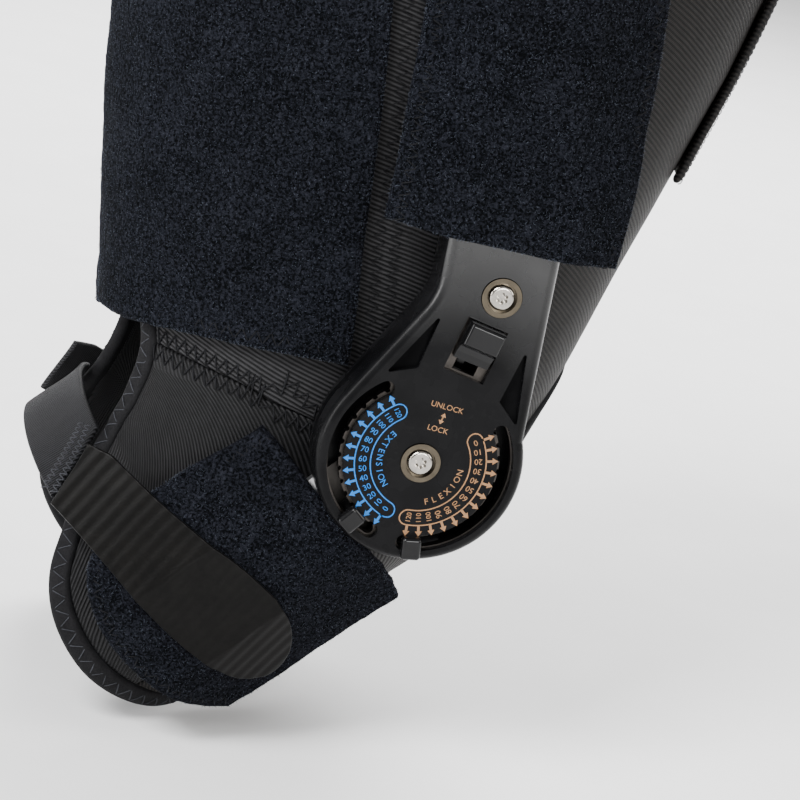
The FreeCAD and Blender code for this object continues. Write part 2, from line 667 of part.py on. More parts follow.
def make_cuff():
    region = wall([V(-21.2, 0, 20), V(-45, 0, 20), V(-65, 0, 18), V(-80, 0, 14.5), V(-110, 0, 10),
                   V(-110, 0, THIGH_TOP), V(-27.5, 0, THIGH_TOP)])
    save("back_thigh_cuff", piece(region, CUFF_IN, LOOP_OUT))
    hook = lateral_wall([V(-50, 0, 90), V(-50, 0, 138), V(-8, 0, 138), V(-8, 0, 90)])
    save("medial_cuff_hook_panel", mirrored(piece(hook, HOOK_IN + 0.3, HOOK_OUT + 0.3)))
    flap = Part.makeBox(90, 46, 62, V(35, -23, 74))
    save("front_closure_flap", piece(flap, LOOP_IN, LOOP_OUT - 1))


def make_straps():
    """The elastic behind the calf and its hook end, which climbs towards the back of the knee."""
    start = calf_point(78.5, 48)
    tip = calf_point(66, -26)
    span = tip - start
    length = span.Length
    direction = span.normalize()
    for name, end in (("lateral_calf_hook_tab", length), ("medial_strap_anchor", 50)):
        outline = rounded_bar(direction, 6, end, STRAP_WIDTH)
        outline.translate(V(start.x, 0, start.z))
        strap = over_hump(prism(outline, 5, 90), calf_hump, HOOK_IN, HOOK_OUT)
        save(name, strap if name.startswith("lateral") else mirrored(strap))
    top = 66.4
    end = top + STRAP_WIDTH
    behind = wall([calf_point(top, 43), calf_point(end, 39), calf_point(end, 90), calf_point(top, 90)])
    save("calf_back_strap", piece(behind, LOOP_IN, LOOP_IN + 1.8))


make_hinges()
make_panels()
make_bindings()
make_pockets()
make_cuff()
make_straps()
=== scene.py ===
import math

import bpy
import numpy as np
from mathutils import Matrix, Vector


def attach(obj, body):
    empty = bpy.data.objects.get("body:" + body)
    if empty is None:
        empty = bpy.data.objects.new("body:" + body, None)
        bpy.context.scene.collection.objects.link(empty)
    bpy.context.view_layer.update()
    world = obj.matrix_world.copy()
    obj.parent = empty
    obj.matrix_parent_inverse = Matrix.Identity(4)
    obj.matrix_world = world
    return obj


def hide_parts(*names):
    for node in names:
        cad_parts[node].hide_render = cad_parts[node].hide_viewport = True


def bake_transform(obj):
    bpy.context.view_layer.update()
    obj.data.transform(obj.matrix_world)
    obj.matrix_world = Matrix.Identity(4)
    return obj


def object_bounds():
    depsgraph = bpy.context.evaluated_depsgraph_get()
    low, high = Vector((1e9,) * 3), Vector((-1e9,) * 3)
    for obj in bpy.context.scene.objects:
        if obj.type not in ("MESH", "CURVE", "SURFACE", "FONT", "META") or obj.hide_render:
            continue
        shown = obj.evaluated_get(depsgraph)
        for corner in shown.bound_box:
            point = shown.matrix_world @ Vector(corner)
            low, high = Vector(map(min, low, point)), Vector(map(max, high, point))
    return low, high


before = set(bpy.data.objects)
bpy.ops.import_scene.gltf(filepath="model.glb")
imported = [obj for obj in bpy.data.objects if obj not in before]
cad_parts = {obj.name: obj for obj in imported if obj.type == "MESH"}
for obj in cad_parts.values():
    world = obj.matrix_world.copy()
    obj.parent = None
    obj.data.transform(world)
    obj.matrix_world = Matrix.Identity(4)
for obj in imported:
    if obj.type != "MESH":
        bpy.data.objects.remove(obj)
cad_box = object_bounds()

# Lengths below are millimetres in the frame of the CAD model, scaled by MM when a mesh is made.
MM = 0.001
TAU = 2 * math.pi


def add_object(name, data):
    new = bpy.data.objects.new(name, data)
    bpy.context.scene.collection.objects.link(new)
    return new


# -------- camera

TO_CAMERA = Vector((-0.20, -1.0, 0.30)).normalized()
CAMERA_DISTANCE = 800.0
CAMERA_ROLL = math.radians(11)
FRAME_WIDTH = 214.4                      # width of the view at the lateral hinge
HINGE_FACE = Vector((0, -73.5, 0))
AIM_RIGHT = -5.5                         # the view's middle, seen from the hinge
AIM_UP = 16.86
SENSOR = 36.0
CLIP = (0.05, 50)                        # in metres


def make_camera():
    forward = -TO_CAMERA
    level_up = (Vector((0, 0, 1)) - forward * forward.z).normalized()
    level_right = forward.cross(level_up)
    up = level_up * math.cos(CAMERA_ROLL) - level_right * math.sin(CAMERA_ROLL)
    right = level_up * math.sin(CAMERA_ROLL) + level_right * math.cos(CAMERA_ROLL)
    data = bpy.data.cameras.new("camera")
    data.sensor_width = SENSOR
    data.lens = SENSOR * CAMERA_DISTANCE / FRAME_WIDTH
    data.clip_start, data.clip_end = CLIP
    camera = add_object("camera", data)
    place = HINGE_FACE + TO_CAMERA * CAMERA_DISTANCE + right * AIM_RIGHT + up * AIM_UP
    turn = Matrix((right, up, -forward)).transposed().to_4x4()
    camera.matrix_world = Matrix.Translation(place * MM) @ turn
    bpy.context.scene.camera = camera


make_camera()

# -------- sizes shared with the CAD model

REST_FLEXION = math.radians(45)
DOWN_CALF = np.array([-math.sin(REST_FLEXION), 0, -math.cos(REST_FLEXION)])
BEHIND_CALF = np.array([-math.cos(REST_FLEXION), 0, math.sin(REST_FLEXION)])
HINGE_LEAN = 15.0
FACE_OUT = 73.5                          # outer face of the hinge cover, from the middle plane
THIGH_TOP = 148.0
FABRIC = 3.0
BINDING_WIDTH = 6.5
BINDING_PROUD = 0.5
LOOP_IN = 0.6
LOOP_OUT = 4.2
POCKET_SKIN = 2.4
UPPER_ARM_OUT = 71.1
LOWER_ARM_OUT = 64.7

# -------- the leg's surface

SECTION_POWER = 2 / 2.2
REAR_FAN = np.array([-100.0, 0, 5])


def level_section(height, back, front, half_width):
    middle = np.array([(back + front) / 2, 0, height])
    return middle, np.array([1.0, 0, 0]), (front - back) / 2, half_width


def fan_section(degrees, back, front, half_width):
    tilt = math.radians(degrees)
    forward = np.array([math.cos(tilt), 0, -math.sin(tilt)])
    return REAR_FAN + forward * (back + front) / 2, forward, (front - back) / 2, half_width


def calf_point(down, behind):
    return DOWN_CALF * down + BEHIND_CALF * behind


def calf_section(down, behind, ahead, half_width):
    middle = calf_point(down, (behind + ahead) / 2)
    return middle, -BEHIND_CALF, (behind - ahead) / 2, half_width


SECTIONS = [
    level_section(156, -95.9, 91.5, 64.3),
    level_section(110, -91.9, 80, 61.0),
    level_section(55, -87, 62.4, 57.0),
    fan_section(0, 17.5, 146, 55.6),
    fan_section(15, 18, 136.5, 56.3),
    fan_section(30, 20, 122.5, 56.6),
    calf_section(67, 52, -44, 56.6),
    calf_section(93, 50.6, -41.4, 55.2),
    calf_section(122, 46.5, -37.5, 52),
]
CENTRE = np.array([s[0] for s in SECTIONS])
FORWARD = np.array([s[1] for s in SECTIONS])
HALF_DEPTH = np.array([s[2] for s in SECTIONS])
HALF_WIDTH = np.array([s[3] for s in SECTIONS])
LAST = len(SECTIONS) - 1
MEDIAL = np.array([0, 1.0, 0])


def leg(u, a):
    """Points of the leg. u counts the sections downwards, a is the angle round: 0 in front,
    -pi/2 on the lateral side, +-pi behind."""
    u = np.clip(np.asarray(u, float), 0, LAST - 1e-6)
    k = u.astype(int)
    f = (u - k)[..., None]
    along = np.sign(np.cos(a)) * np.abs(np.cos(a)) ** SECTION_POWER
    across = np.sign(np.sin(a)) * np.abs(np.sin(a)) ** SECTION_POWER

    def station(i):
        i = np.clip(i, 0, LAST)
        return (CENTRE[i] + FORWARD[i] * (HALF_DEPTH[i] * along)[..., None]
                + MEDIAL * (HALF_WIDTH[i] * across)[..., None])

    def chord(a, b):
        return np.maximum(np.linalg.norm(b - a, axis=-1, keepdims=True), 1e-3)

    p0, p1, p2, p3 = station(k - 1), station(k), station(k + 1), station(k + 2)
    before, here, after = chord(p0, p1), chord(p1, p2), chord(p2, p3)
    before = np.where(before < 0.01, here, before)
    after = np.where(after < 0.01, here, after)
    slope = (p2 - p1) / here
    start = here * ((p1 - p0) / before * here + slope * before) / (before + here)
    end = here * (slope * after + (p3 - p2) / after * here) / (here + after)
    f2, f3 = f * f, f * f * f
    return (p1 * (2 * f3 - 3 * f2 + 1) + start * (f3 - 2 * f2 + f)
            + p2 * (3 * f2 - 2 * f3) + end * (f3 - f2))


def slopes(u, a):
    step = 1e-3
    du = (leg(u + step, a) - leg(u - step, a)) / (2 * step)
    da = (leg(u, a + step) - leg(u, a - step)) / (2 * step)
    return du, da


def normal(u, a):
    du, da = slopes(u, a)
    n = np.cross(du, da)
    n /= np.linalg.norm(n, axis=-1, keepdims=True)
    outward = np.sin(a) * n[..., 1] + np.cos(a) * n[..., 0] * 0.2
    return n * np.where(np.sum(outward) < 0, -1, 1)


SURVEY = np.linspace(0, LAST, 400)
SURVEY_SIDE = leg(SURVEY, np.full(len(SURVEY), -math.pi / 2))
SURVEY_RUN = np.concatenate([[0], np.cumsum(np.linalg.norm(np.diff(SURVEY_SIDE, axis=0), axis=1))])
MEAN_RADIUS = 60.0                       # turns an angle round the leg into a distance
SEARCH_STEP = 0.1
SEARCH_U, SEARCH_A = np.meshgrid(np.linspace(0, LAST, 161), np.radians(np.linspace(-178, -2, 117)),
                                 indexing="ij")
SEARCH_POINTS = leg(SEARCH_U, SEARCH_A)


def side(*points):
    """A curve of (u, a) on the lateral side of the leg, through (x, z) points in the side view."""
    found = []
    for x, z in points:
        near = (SEARCH_POINTS[..., 0] - x) ** 2 + (SEARCH_POINTS[..., 2] - z) ** 2
        i, j = np.unravel_index(near.argmin(), near.shape)
        u, a = SEARCH_U[i, j], SEARCH_A[i, j]
        for _ in range(6):
            p = leg(u, a)
            du, da = slopes(u, a)
            m = np.array([[du[0], da[0]], [du[2], da[2]]])
            step = np.linalg.lstsq(m, np.array([x - p[0], z - p[2]]), rcond=0.02)[0]
            step = np.clip(step, -SEARCH_STEP, SEARCH_STEP)
            u, a = float(np.clip(u + step[0], 0, LAST)), float(np.clip(a + step[1], -math.pi, 0))
        found.append((u, a))
    return np.array(found)


def calf(*points):
    """A curve from (down the calf, behind its middle line) points in the side view."""
    return side(*[calf_point(*p)[[0, 2]] for p in points])


def continued(curve, fold):
    """A curve that ends at an angle round the leg, continued by its mirror image beyond it."""
    other = curve[::-1].copy()
    other[:, 1] = 2 * fold - other[:, 1]
    if abs(curve[-1, 1] - fold) < 1e-4:
        other = other[1:]
    return np.vstack([curve, other])


def behind_to_medial(curve):
    return continued(curve, -math.pi)


def front_to_medial(curve):
    return continued(curve, 0.0)


# -------- curves and grids

def lengths(points):
    """Distance along a polyline of 3D points, from 0 to 1, and its whole length."""
    run = np.concatenate([[0], np.cumsum(np.linalg.norm(np.diff(points, axis=0), axis=1))])
    return run / run[-1], run[-1]


def rounded(curve, count=160):
    """A smooth curve through control points, evenly spaced along the leg."""
    c = np.vstack([2 * curve[0] - curve[1], curve, 2 * curve[-1] - curve[-2]])
    out = []
    for i in range(1, len(c) - 2):
        for f in np.linspace(0, 1, 24, endpoint=False):
            out.append(0.5 * (2 * c[i] + (c[i + 1] - c[i - 1]) * f
                              + (2 * c[i - 1] - 5 * c[i] + 4 * c[i + 1] - c[i + 2]) * f ** 2
                              + (3 * c[i] - c[i - 1] - 3 * c[i + 1] + c[i + 2]) * f ** 3))
    out.append(c[-2])
    return even(np.array(out), count)


def resampled(curve, places, wanted):
    """The points of a curve at the wanted places, from the places of its own points."""
    return np.stack([np.interp(wanted, places, curve[:, k]) for k in (0, 1)], 1)


def even(curve, count=160):
    """A polyline on the leg, resampled at even steps."""
    quarters = np.array([[0.0], [0.25], [0.5], [0.75]])
    dense = (curve[:-1, None] + np.diff(curve, axis=0)[:, None] * quarters).reshape(-1, 2)
    dense = np.vstack([dense, curve[-1]])
    return resampled(dense, lengths(leg(dense[:, 0], dense[:, 1]))[0], np.linspace(0, 1, count))


def straight(a, b, count=60):
    return even(np.linspace(a, b, count))


def at(curve, t):
    return resampled(curve, np.linspace(0, 1, len(curve)), t)


def inset(curve, distance):
    """A curve moved sideways over the leg's surface, to the left of its direction seen from outside."""
    u, a = curve[:, 0], curve[:, 1]
    points = leg(u, a)
    run = np.gradient(points, axis=0)
    run /= np.linalg.norm(run, axis=1, keepdims=True)
    inward = np.cross(normal(u, a), run)
    du, da = slopes(u, a)
    moved = []
    for i in range(len(curve)):
        m = np.stack([du[i], da[i]], 1)
        moved.append(curve[i] + np.linalg.lstsq(m, inward[i] * distance, rcond=None)[0])
    return np.array(moved)


EDGE_STOPS = np.array([0, 0.08, 0.3, 0.62, 1])


def stops(length, spacing, edge):
    """Parameters from 0 to 1 with extra ones near both ends, for a rounded edge."""
    near = EDGE_STOPS * edge
    count = max(3, int((length - 2 * edge) / spacing))
    middle = np.linspace(edge, length - edge, count)[1:-1]
    return np.concatenate([near, middle, length - near[::-1]]) / length


def patch(bottom, top, left, right, spacing=1.4, edge=1.2):
    """A grid between four curves on the leg: bottom and top run from left to right."""
    wide = max(lengths(leg(c[:, 0], c[:, 1]))[1] for c in (bottom, top))
    high = max(lengths(leg(c[:, 0], c[:, 1]))[1] for c in (left, right))
    s = stops(wide, spacing, edge)
    t = stops(high, spacing, edge)
    low, high, start, end = at(bottom, s)[:, None], at(top, s)[:, None], at(left, t), at(right, t)
    s, t = s[:, None, None], t[None, :, None]
    corners = ((1 - s) * (1 - t) * bottom[0] + s * (1 - t) * bottom[-1]
               + (1 - s) * t * top[0] + s * t * top[-1])
    return (1 - t) * low + t * high + (1 - s) * start + s * end - corners


def ladder(low, high, spacing=1.4, edge=1.2, count=60):
    """A grid between two curves whose ends are joined by straight lines."""
    ends = [straight(low[i], high[i], count) for i in (0, -1)]
    return patch(low, high, *ends, spacing, edge)


def ring_patch(inner, outer, spacing=1.6, edge=1.2):
    """A grid between two closed curves on the leg."""
    gap = np.linalg.norm(leg(inner[:, 0], inner[:, 1]) - leg(outer[:, 0], outer[:, 1]), axis=1).max()
    t = stops(gap, spacing, edge)
    return inner[:, None] * (1 - t[None, :, None]) + outer[:, None] * t[None, :, None]


# -------- noise

def lattice(cells, seed):
    """One repeatable random number for each lattice cell."""
    n = (cells[..., 0] * 73856093) ^ (cells[..., 1] * 19349663) ^ (cells[..., 2] * 83492791)
    n = (n + seed * 2654435761) & 0x7FFFFFFF
    n = (n ^ (n >> 13)) * 1274126177 & 0x7FFFFFFF
    return ((n ^ (n >> 16)) & 0xFFFF) / 65535.0


def noise(points, size, seed):
    """Smooth value noise from -1 to 1 with lumps of the given size."""
    p = points / size
    base = np.floor(p).astype(np.int64)
    f = p - base
    f = f * f * (3 - 2 * f)
    total = 0
    for corner in range(8):
        bits = np.array([corner & 1, corner >> 1 & 1, corner >> 2 & 1])
        weight = np.prod(np.where(bits, f, 1 - f), axis=-1)
        total = total + weight * lattice(base + bits, seed)
    return total * 2 - 1


# -------- cloth over the metal arms

def beyond(value, low, high):
    return np.maximum(np.maximum(low - value, value - high), 0)


TENT_SLOPE = 0.62
TENT_FOLD = 6.0                          # how softly the raised cloth meets the rest


def thigh_tent(p):
    """How far out the thigh pocket is held by the cover's neck and the upper arm."""
    x, z = p[..., 0], p[..., 2]
    neck = FACE_OUT + POCKET_SKIN - TENT_SLOPE * np.hypot(beyond(x, -5.5, 28.0), beyond(z, 55, 77))
    arm = UPPER_ARM_OUT + POCKET_SKIN - TENT_SLOPE * np.hypot(beyond(x, 0, 23), beyond(z, 55, 140))
    return np.maximum(neck, arm)


def calf_tent(p):
    """How far out the calf pocket is held by the lower arm."""
    down = p @ DOWN_CALF
    behind = p @ BEHIND_CALF
    away = np.hypot(beyond(behind, -12, 12), beyond(down, 20, 90))
    return LOWER_ARM_OUT + POCKET_SKIN - TENT_SLOPE * away


def soft_max(a, b, blend):
    return 0.5 * (a + b + np.sqrt((a - b) ** 2 + blend ** 2))


# -------- mesh makers

def new_object(name, verts, faces, material, uv=None, smooth=True):
    mesh = bpy.data.meshes.new(name)
    mesh.from_pydata((np.asarray(verts) * MM).tolist(), [], faces)
    if uv is not None:
        layer = mesh.uv_layers.new(name="cloth")
        index = np.empty(len(mesh.loops), int)
        mesh.loops.foreach_get("vertex_index", index)
        layer.data.foreach_set("uv", np.asarray(uv)[index].ravel())
    if smooth:
        mesh.polygons.foreach_set("use_smooth", [True] * len(mesh.polygons))
    mesh.materials.append(material)
    mesh.validate()
    mesh.update()
    return add_object(name, mesh)


def surface_uv(u, a):
    """Flat cloth coordinates, one unit for 100 mm: round the leg, and up it."""
    return np.stack([a * MEAN_RADIUS / 100, -np.interp(u, SURVEY, SURVEY_RUN) / 100], -1)


MIRROR = np.array([1, -1, 1])
QUAD_CORNERS = ((0, 0), (1, 0), (1, 1), (0, 1))
THREAD_SIDES = 5


def border_distance(base, closed):
    """How far each point of a grid is from the border; a closed grid joins up along its first way."""
    def nearer_end(axis):
        steps = np.linalg.norm(np.diff(base, axis=axis), axis=2)
        run = np.cumsum(np.insert(steps, 0, 0.0, axis=axis), axis=axis)
        return np.minimum(run, np.take(run, [-1], axis=axis) - run)

    across = nearer_end(1)
    return across if closed else np.minimum(across, nearer_end(0))


def shell(name, grid, low, high, material, edge=1.2, tent=None, lift=0.0, skin=None, pile=None,
          closed=False, medial=False, seed=1, ripple=None, puckers=0.12):
    """A closed cloth shell over a grid of (u, a), between two heights above the leg.
    tent is a function that holds the cloth further out, pile is the height of its lumps, and
    ripple is a function that gives the height of its ridges."""
    u, a = grid[..., 0], grid[..., 1]
    base = leg(u, a)
    out = normal(u, a)
    rise = np.clip(border_distance(base, closed) / edge, 0, 1)
    bulge = np.sqrt(np.clip(1 - (1 - rise) ** 2, 0, 1))
    middle = (low + high) / 2
    top = middle + (high - middle) * bulge
    under = middle + (low - middle) * bulge
    wave = (noise(base, 26, seed) * puckers * 2 + noise(base, 9, seed + 7) * puckers) * rise
    relief = wave
    if pile:
        relief = relief + pile * bulge * (noise(base, 2.1, seed + 3) + 0.6 * noise(base, 1.1, seed + 4))
        ragged = noise(base, 1.6, seed + 5) * 0.45 * (1 - rise)
        base = base + ragged[..., None] * np.cross(out, MEDIAL)
    if ripple:
        relief = relief + ripple(base) * bulge
    upper = base + out * (top + relief)[..., None]
    lower = base + out * (under + wave)[..., None]
    if tent:
        hold = tent(base) + lift
        thin = skin or high - low
        shrink = thin * (0.5 - 0.5 * bulge)
        upper[..., 1] = -soft_max(-upper[..., 1], hold - shrink + relief, TENT_FOLD)
        lower[..., 1] = -soft_max(-lower[..., 1], hold - thin + shrink + wave, TENT_FOLD)
        upper = np.where(rise[..., None] <= 0, (upper + lower) / 2, upper)
    rows, columns = base.shape[:2]
    number = np.arange(rows * columns)
    inner = np.flatnonzero(rise.ravel() > 1e-9)
    below = number.copy()                # the border's points are shared by both faces
    below[inner] = len(number) + np.arange(len(inner))
    i, j = np.meshgrid(np.arange(rows if closed else rows - 1), np.arange(columns - 1), indexing="ij")
    quads = np.stack([((i + di) % rows * columns + j + dj).ravel() for di, dj in QUAD_CORNERS], 1)
    verts = np.vstack([upper.reshape(-1, 3), lower.reshape(-1, 3)[inner]])
    uv = surface_uv(u, a).reshape(-1, 2)
    outside = outward_quads(verts, quads, out.reshape(-1, 3))
    faces = np.vstack([outside, below[outside][:, ::-1]])
    if medial:
        verts = verts * MIRROR
        faces = faces[:, ::-1]
    return new_object(name, verts, faces.tolist(), material, np.vstack([uv, uv[inner]]))


def outward_quads(verts, quads, out):
    """Quads turned so that they face the same way as the leg's surface."""
    q = quads[len(quads) // 2]
    n = np.cross(verts[q[1]] - verts[q[0]], verts[q[3]] - verts[q[0]])
    return quads if n @ out[q[0]] > 0 else quads[:, ::-1]


def tube(name, paths, radius, material, medial=False):
    """Round threads along 3D paths, closed at both ends."""
    turns = TAU * np.arange(THREAD_SIDES)[:, None] / THREAD_SIDES
    verts, faces, start = [], [], 0
    for path in paths:
        run = np.gradient(path, axis=0)
        run /= np.linalg.norm(run, axis=1, keepdims=True) + 1e-9
        guide = np.cross(run, [0.31, 0.52, 0.79])
        guide /= np.linalg.norm(guide, axis=1, keepdims=True)
        other = np.cross(run, guide)
        rings = path[:, None] + (guide[:, None] * np.cos(turns) + other[:, None] * np.sin(turns)) * radius
        verts.append(rings.reshape(-1, 3))
        last = start + (len(path) - 1) * THREAD_SIDES
        for row in range(start, last, THREAD_SIDES):
            for s in range(THREAD_SIDES):
                n = (s + 1) % THREAD_SIDES
                faces.append((row + s, row + n, row + THREAD_SIDES + n, row + THREAD_SIDES + s))
        faces.append(tuple(range(start, start + THREAD_SIDES))[::-1])
        faces.append(tuple(range(last, last + THREAD_SIDES)))
        start = last + THREAD_SIDES
    verts = np.vstack(verts)
    if medial:
        verts = verts * MIRROR
        faces = [f[::-1] for f in faces]
    return new_object(name, verts, faces, material)


def place_on(curve, height, tent=None):
    """3D points above a curve on the leg, also over a tent."""
    u, a = curve[:, 0], curve[:, 1]
    base = leg(u, a)
    points = base + normal(u, a) * height[:, None]
    if tent:
        points[:, 1] = -soft_max(-points[:, 1], tent(base) + (height - LOOP_OUT), TENT_FOLD)
    return points


THREAD_DIP = 0.35                        # how deep a thread goes into the cloth at a turn


def zigzag(curve, width, pitch, height, tent=None):
    """The path of a zigzag stitch along a curve."""
    length = lengths(leg(curve[:, 0], curve[:, 1]))[1]
    turns = max(2, int(length / pitch * 2))
    sides = [inset(curve, width / 2), inset(curve, -width / 2)]
    spots, heights = [], []
    for i in range(turns + 1):
        here = at(sides[i % 2], [i / turns])[0]
        if i:
            last = spots[-1]
            for f, proud in ((0.18, 0.1), (0.5, 0.22), (0.82, 0.1)):
                spots.append(last * (1 - f) + here * f)
                heights.append(height + proud)
        spots.append(here)
        heights.append(height - THREAD_DIP)
    return place_on(np.array(spots), np.array(heights), tent)


FIBRE_LENGTH = 1.5
FIBRE_RADIUS = 0.055
FIBRE_FACES = np.array([face for s, e in ((0, 1), (1, 2), (2, 0)) for face in
                        ((s, e, e + 3), (s, e + 3, s + 3), (s + 3, e + 3, 6))] + [(2, 1, 0)])


def fuzz(name, piece, amount, edge_amount, seed, bald=None):
    """Short curled fibres that stand on the outer face of a pile piece, with more along its edge.
    bald is a place in millimetres and a radius where none stand."""
    polygons = piece.data.polygons
    count = len(polygons)
    centre, out, area = np.empty(count * 3), np.empty(count * 3), np.empty(count)
    polygons.foreach_get("center", centre)
    polygons.foreach_get("normal", out)
    polygons.foreach_get("area", area)
    centre, out = centre.reshape(-1, 3) / MM, out.reshape(-1, 3)
    outer = area[:count // 2]
    rng = np.random.default_rng(seed)
    chosen = rng.choice(len(outer), amount, p=outer / outer.sum())
    small = np.flatnonzero(outer < np.median(outer) * 0.5)
    chosen = np.concatenate([chosen, rng.choice(small, edge_amount, p=area[small] / area[small].sum())])
    if bald:
        away = centre[chosen] - bald[0]
        chosen = chosen[np.hypot(away[:, 0], away[:, 2]) > bald[1]]
    n = len(chosen)
    spread = np.sqrt(area[chosen])[:, None] / MM * 0.5
    up = out[chosen]
    lean = rng.normal(size=(n, 3))
    lean -= up * np.sum(lean * up, 1, keepdims=True)
    lean /= np.linalg.norm(lean, axis=1, keepdims=True)
    root = centre[chosen] + lean * spread * rng.uniform(-1, 1, (n, 1)) - up * 0.15
    size = FIBRE_LENGTH * rng.uniform(0.35, 1.0, (n, 1))
    rise = rng.uniform(0.25, 0.9, (n, 1))
    middle = root + (up * rise + lean * (1 - rise)) * size * 0.55
    curl = np.cross(up, lean)
    bend = lean * 0.8 + curl * rng.uniform(-0.8, 0.8, (n, 1)) - up * rng.uniform(-0.3, 0.4, (n, 1))
    rows = [spot + (curl * math.cos(t) + lean * math.sin(t)) * radius
            for spot, radius in ((root, FIBRE_RADIUS), (middle, FIBRE_RADIUS * 0.8))
            for t in (0, TAU / 3, 2 * TAU / 3)]
    rows.append(middle + bend * size * 0.5)
    faces = (FIBRE_FACES[:, None] + len(rows) * np.arange(n)[:, None]).reshape(-1, 3)
    return new_object(name, np.stack(rows, 1).reshape(-1, 3), faces.tolist(), FIBRE_WITH_PAINTED_SHEEN)


# -------- materials

DIAL_REACH, NECK_REACH = 33, 61          # distances from the knee axis between which the gloss rises
RECESS_FLOOR = 71.6                      # of the cover's recesses, from the middle plane
COAT_RADIUS = 28.6                       # of the black coating on the lower arm's disc
YARN_PITCH = 0.55
# colours of the ribbed nylon: painted shade in the valleys, painted sheen on the ridge tops
RIBBED_VALLEY_SHADE = (0.0012, 0.0012, 0.0014)
RIBBED_RIDGE_SHEEN = (0.027, 0.0265, 0.0285)


class Finish:
    """A material in the making. Its methods return sockets, which later ones take as inputs."""

    def __init__(self, name, roughness, metallic=0.0, gloss=0.5):
        self.material = bpy.data.materials.new(name)
        self.material.use_nodes = True
        self.tree = self.material.node_tree
        self.surface(Roughness=roughness, Metallic=metallic, Specular_IOR_Level=gloss)
        self.coords = self.node("ShaderNodeTexCoord").outputs["Object"]

    def feed(self, socket, value):
        """Link a socket to an input, or set the input to a plain value."""
        if isinstance(value, bpy.types.NodeSocket):
            self.tree.links.new(value, socket)
        else:
            socket.default_value = value

    def surface(self, **inputs):
        for key, value in inputs.items():
            self.feed(self.tree.nodes["Principled BSDF"].inputs[key.replace("_", " ")], value)

    def node(self, kind, **inputs):
        n = self.tree.nodes.new(kind)
        for key, value in inputs.items():
            self.feed(n.inputs[key.replace("_", " ")], value)
        return n

    def maths(self, operation, *values, kind="ShaderNodeMath"):
        n = self.tree.nodes.new(kind)
        n.operation = operation
        for socket, value in zip(n.inputs, values):
            self.feed(socket, value)
        return n.outputs["Value" if kind == "ShaderNodeMath" or operation == "LENGTH" else "Vector"]

    def vector(self, operation, *values):
        return self.maths(operation, *values, kind="ShaderNodeVectorMath")

    def mix(self, *parts):
        """A sum of sockets, each times its weight."""
        total = None
        for value, weight in parts:
            part = self.maths("MULTIPLY", value, weight)
            total = part if total is None else self.maths("ADD", total, part)
        return total

    def noise(self, size, detail=3.0, roughness=0.6, coords=None):
        """Noise with lumps of a size in millimetres."""
        coords = self.coords if coords is None else coords
        return self.node("ShaderNodeTexNoise", Vector=coords, Scale=1 / (size * MM), Detail=detail,
                         Roughness=roughness).outputs["Fac"]

    def ramp(self, factor, dark, light, low=0.3, high=0.7):
        n = self.node("ShaderNodeValToRGB", Fac=factor)
        for stop, place, colour in zip(n.color_ramp.elements, (low, high), (dark, light)):
            stop.position = place
            stop.color = (*colour, 1)
        return n.outputs[0]

    def bump(self, height, depth):
        """Relief of a depth in millimetres."""
        n = self.node("ShaderNodeBump", Strength=1.0, Distance=depth * MM, Height=height)
        self.surface(Normal=n.outputs[0])

    def axis_distance(self):
        """How far a point is from the knee axis, in metres."""
        return self.vector("LENGTH", self.vector("MULTIPLY", self.coords, (1, 0, 1)))


def ribbed(name, direction, pitch=1.15, dark=RIBBED_VALLEY_SHADE, light=RIBBED_RIDGE_SHEEN):
    """Twill-like nylon: fine ridges that run in a direction, in degrees above the way round the leg. light
    is the colour of the ridge tops, with painted sheen, and dark that of the valleys, with painted shade.
    """
    f = Finish(name, 0.55, gloss=0.12)
    flat = f.node("ShaderNodeSeparateXYZ", Vector=f.node("ShaderNodeUVMap").outputs[0]).outputs
    lean, rise = 100 * math.cos(math.radians(direction)), 100 * math.sin(math.radians(direction))
    across = f.mix((flat[0], -rise), (flat[1], lean))
    along = f.mix((flat[0], lean), (flat[1], rise))
    wandering = f.maths("ADD", across, f.mix((f.noise(9.0, 2.0), 0.5)))
    wave = f.maths("SINE", f.maths("MULTIPLY", wandering, TAU / pitch))
    ridge = f.maths("POWER", f.maths("ADD", f.maths("MULTIPLY", wave, 0.5), 0.5), 0.7)
    yarn = f.maths("SINE", f.maths("MULTIPLY", along, TAU / YARN_PITCH))
    shade = f.mix((ridge, 0.7), (f.noise(3.0, 4.0), 0.4))
    # painted sheen and shade: the ridge tops are coloured lighter and the valleys darker, with random tone
    # from the noise on top
    f.surface(Base_Color=f.ramp(shade, dark, light, 0.35, 1.0))
    f.bump(f.mix((ridge, 1.0), (yarn, 0.07), (f.noise(0.5, 2.0), 0.25)), 0.3)
    return f.material


def pile_cloth(name, dark, light):
    """Brushed loop pile with paler curled fibres."""
    f = Finish(name, 0.95, gloss=0.03)
    warp = f.node("ShaderNodeTexNoise", Vector=f.coords, Scale=900.0, Detail=2.0)
    curled = f.vector("MULTIPLY_ADD", warp.outputs["Color"], (0.0016, 0.0016, 0.0016), f.coords)
    curls = f.noise(0.8, 4.0, 0.75, curled)
    clumps = f.noise(2.6)
    shade = f.mix((curls, 0.9), (clumps, 0.12), (f.noise(16.0, 2.0), 0.1))
    f.surface(Base_Color=f.ramp(shade, dark, light, 0.50, 0.74))
    f.bump(f.mix((curls, 1.0), (clumps, 0.6)), 1.6)
    return f.material


def plain_cloth(name, dark, light, grain=0.3, roughness=0.8, depth=0.05, gloss=0.12):
    f = Finish(name, roughness, gloss=gloss)
    fine = f.noise(grain, 4.0)
    f.surface(Base_Color=f.ramp(f.mix((fine, 0.6), (f.noise(5.0, 2.0), 0.4)), dark, light))
    f.bump(fine, depth)
    return f.material


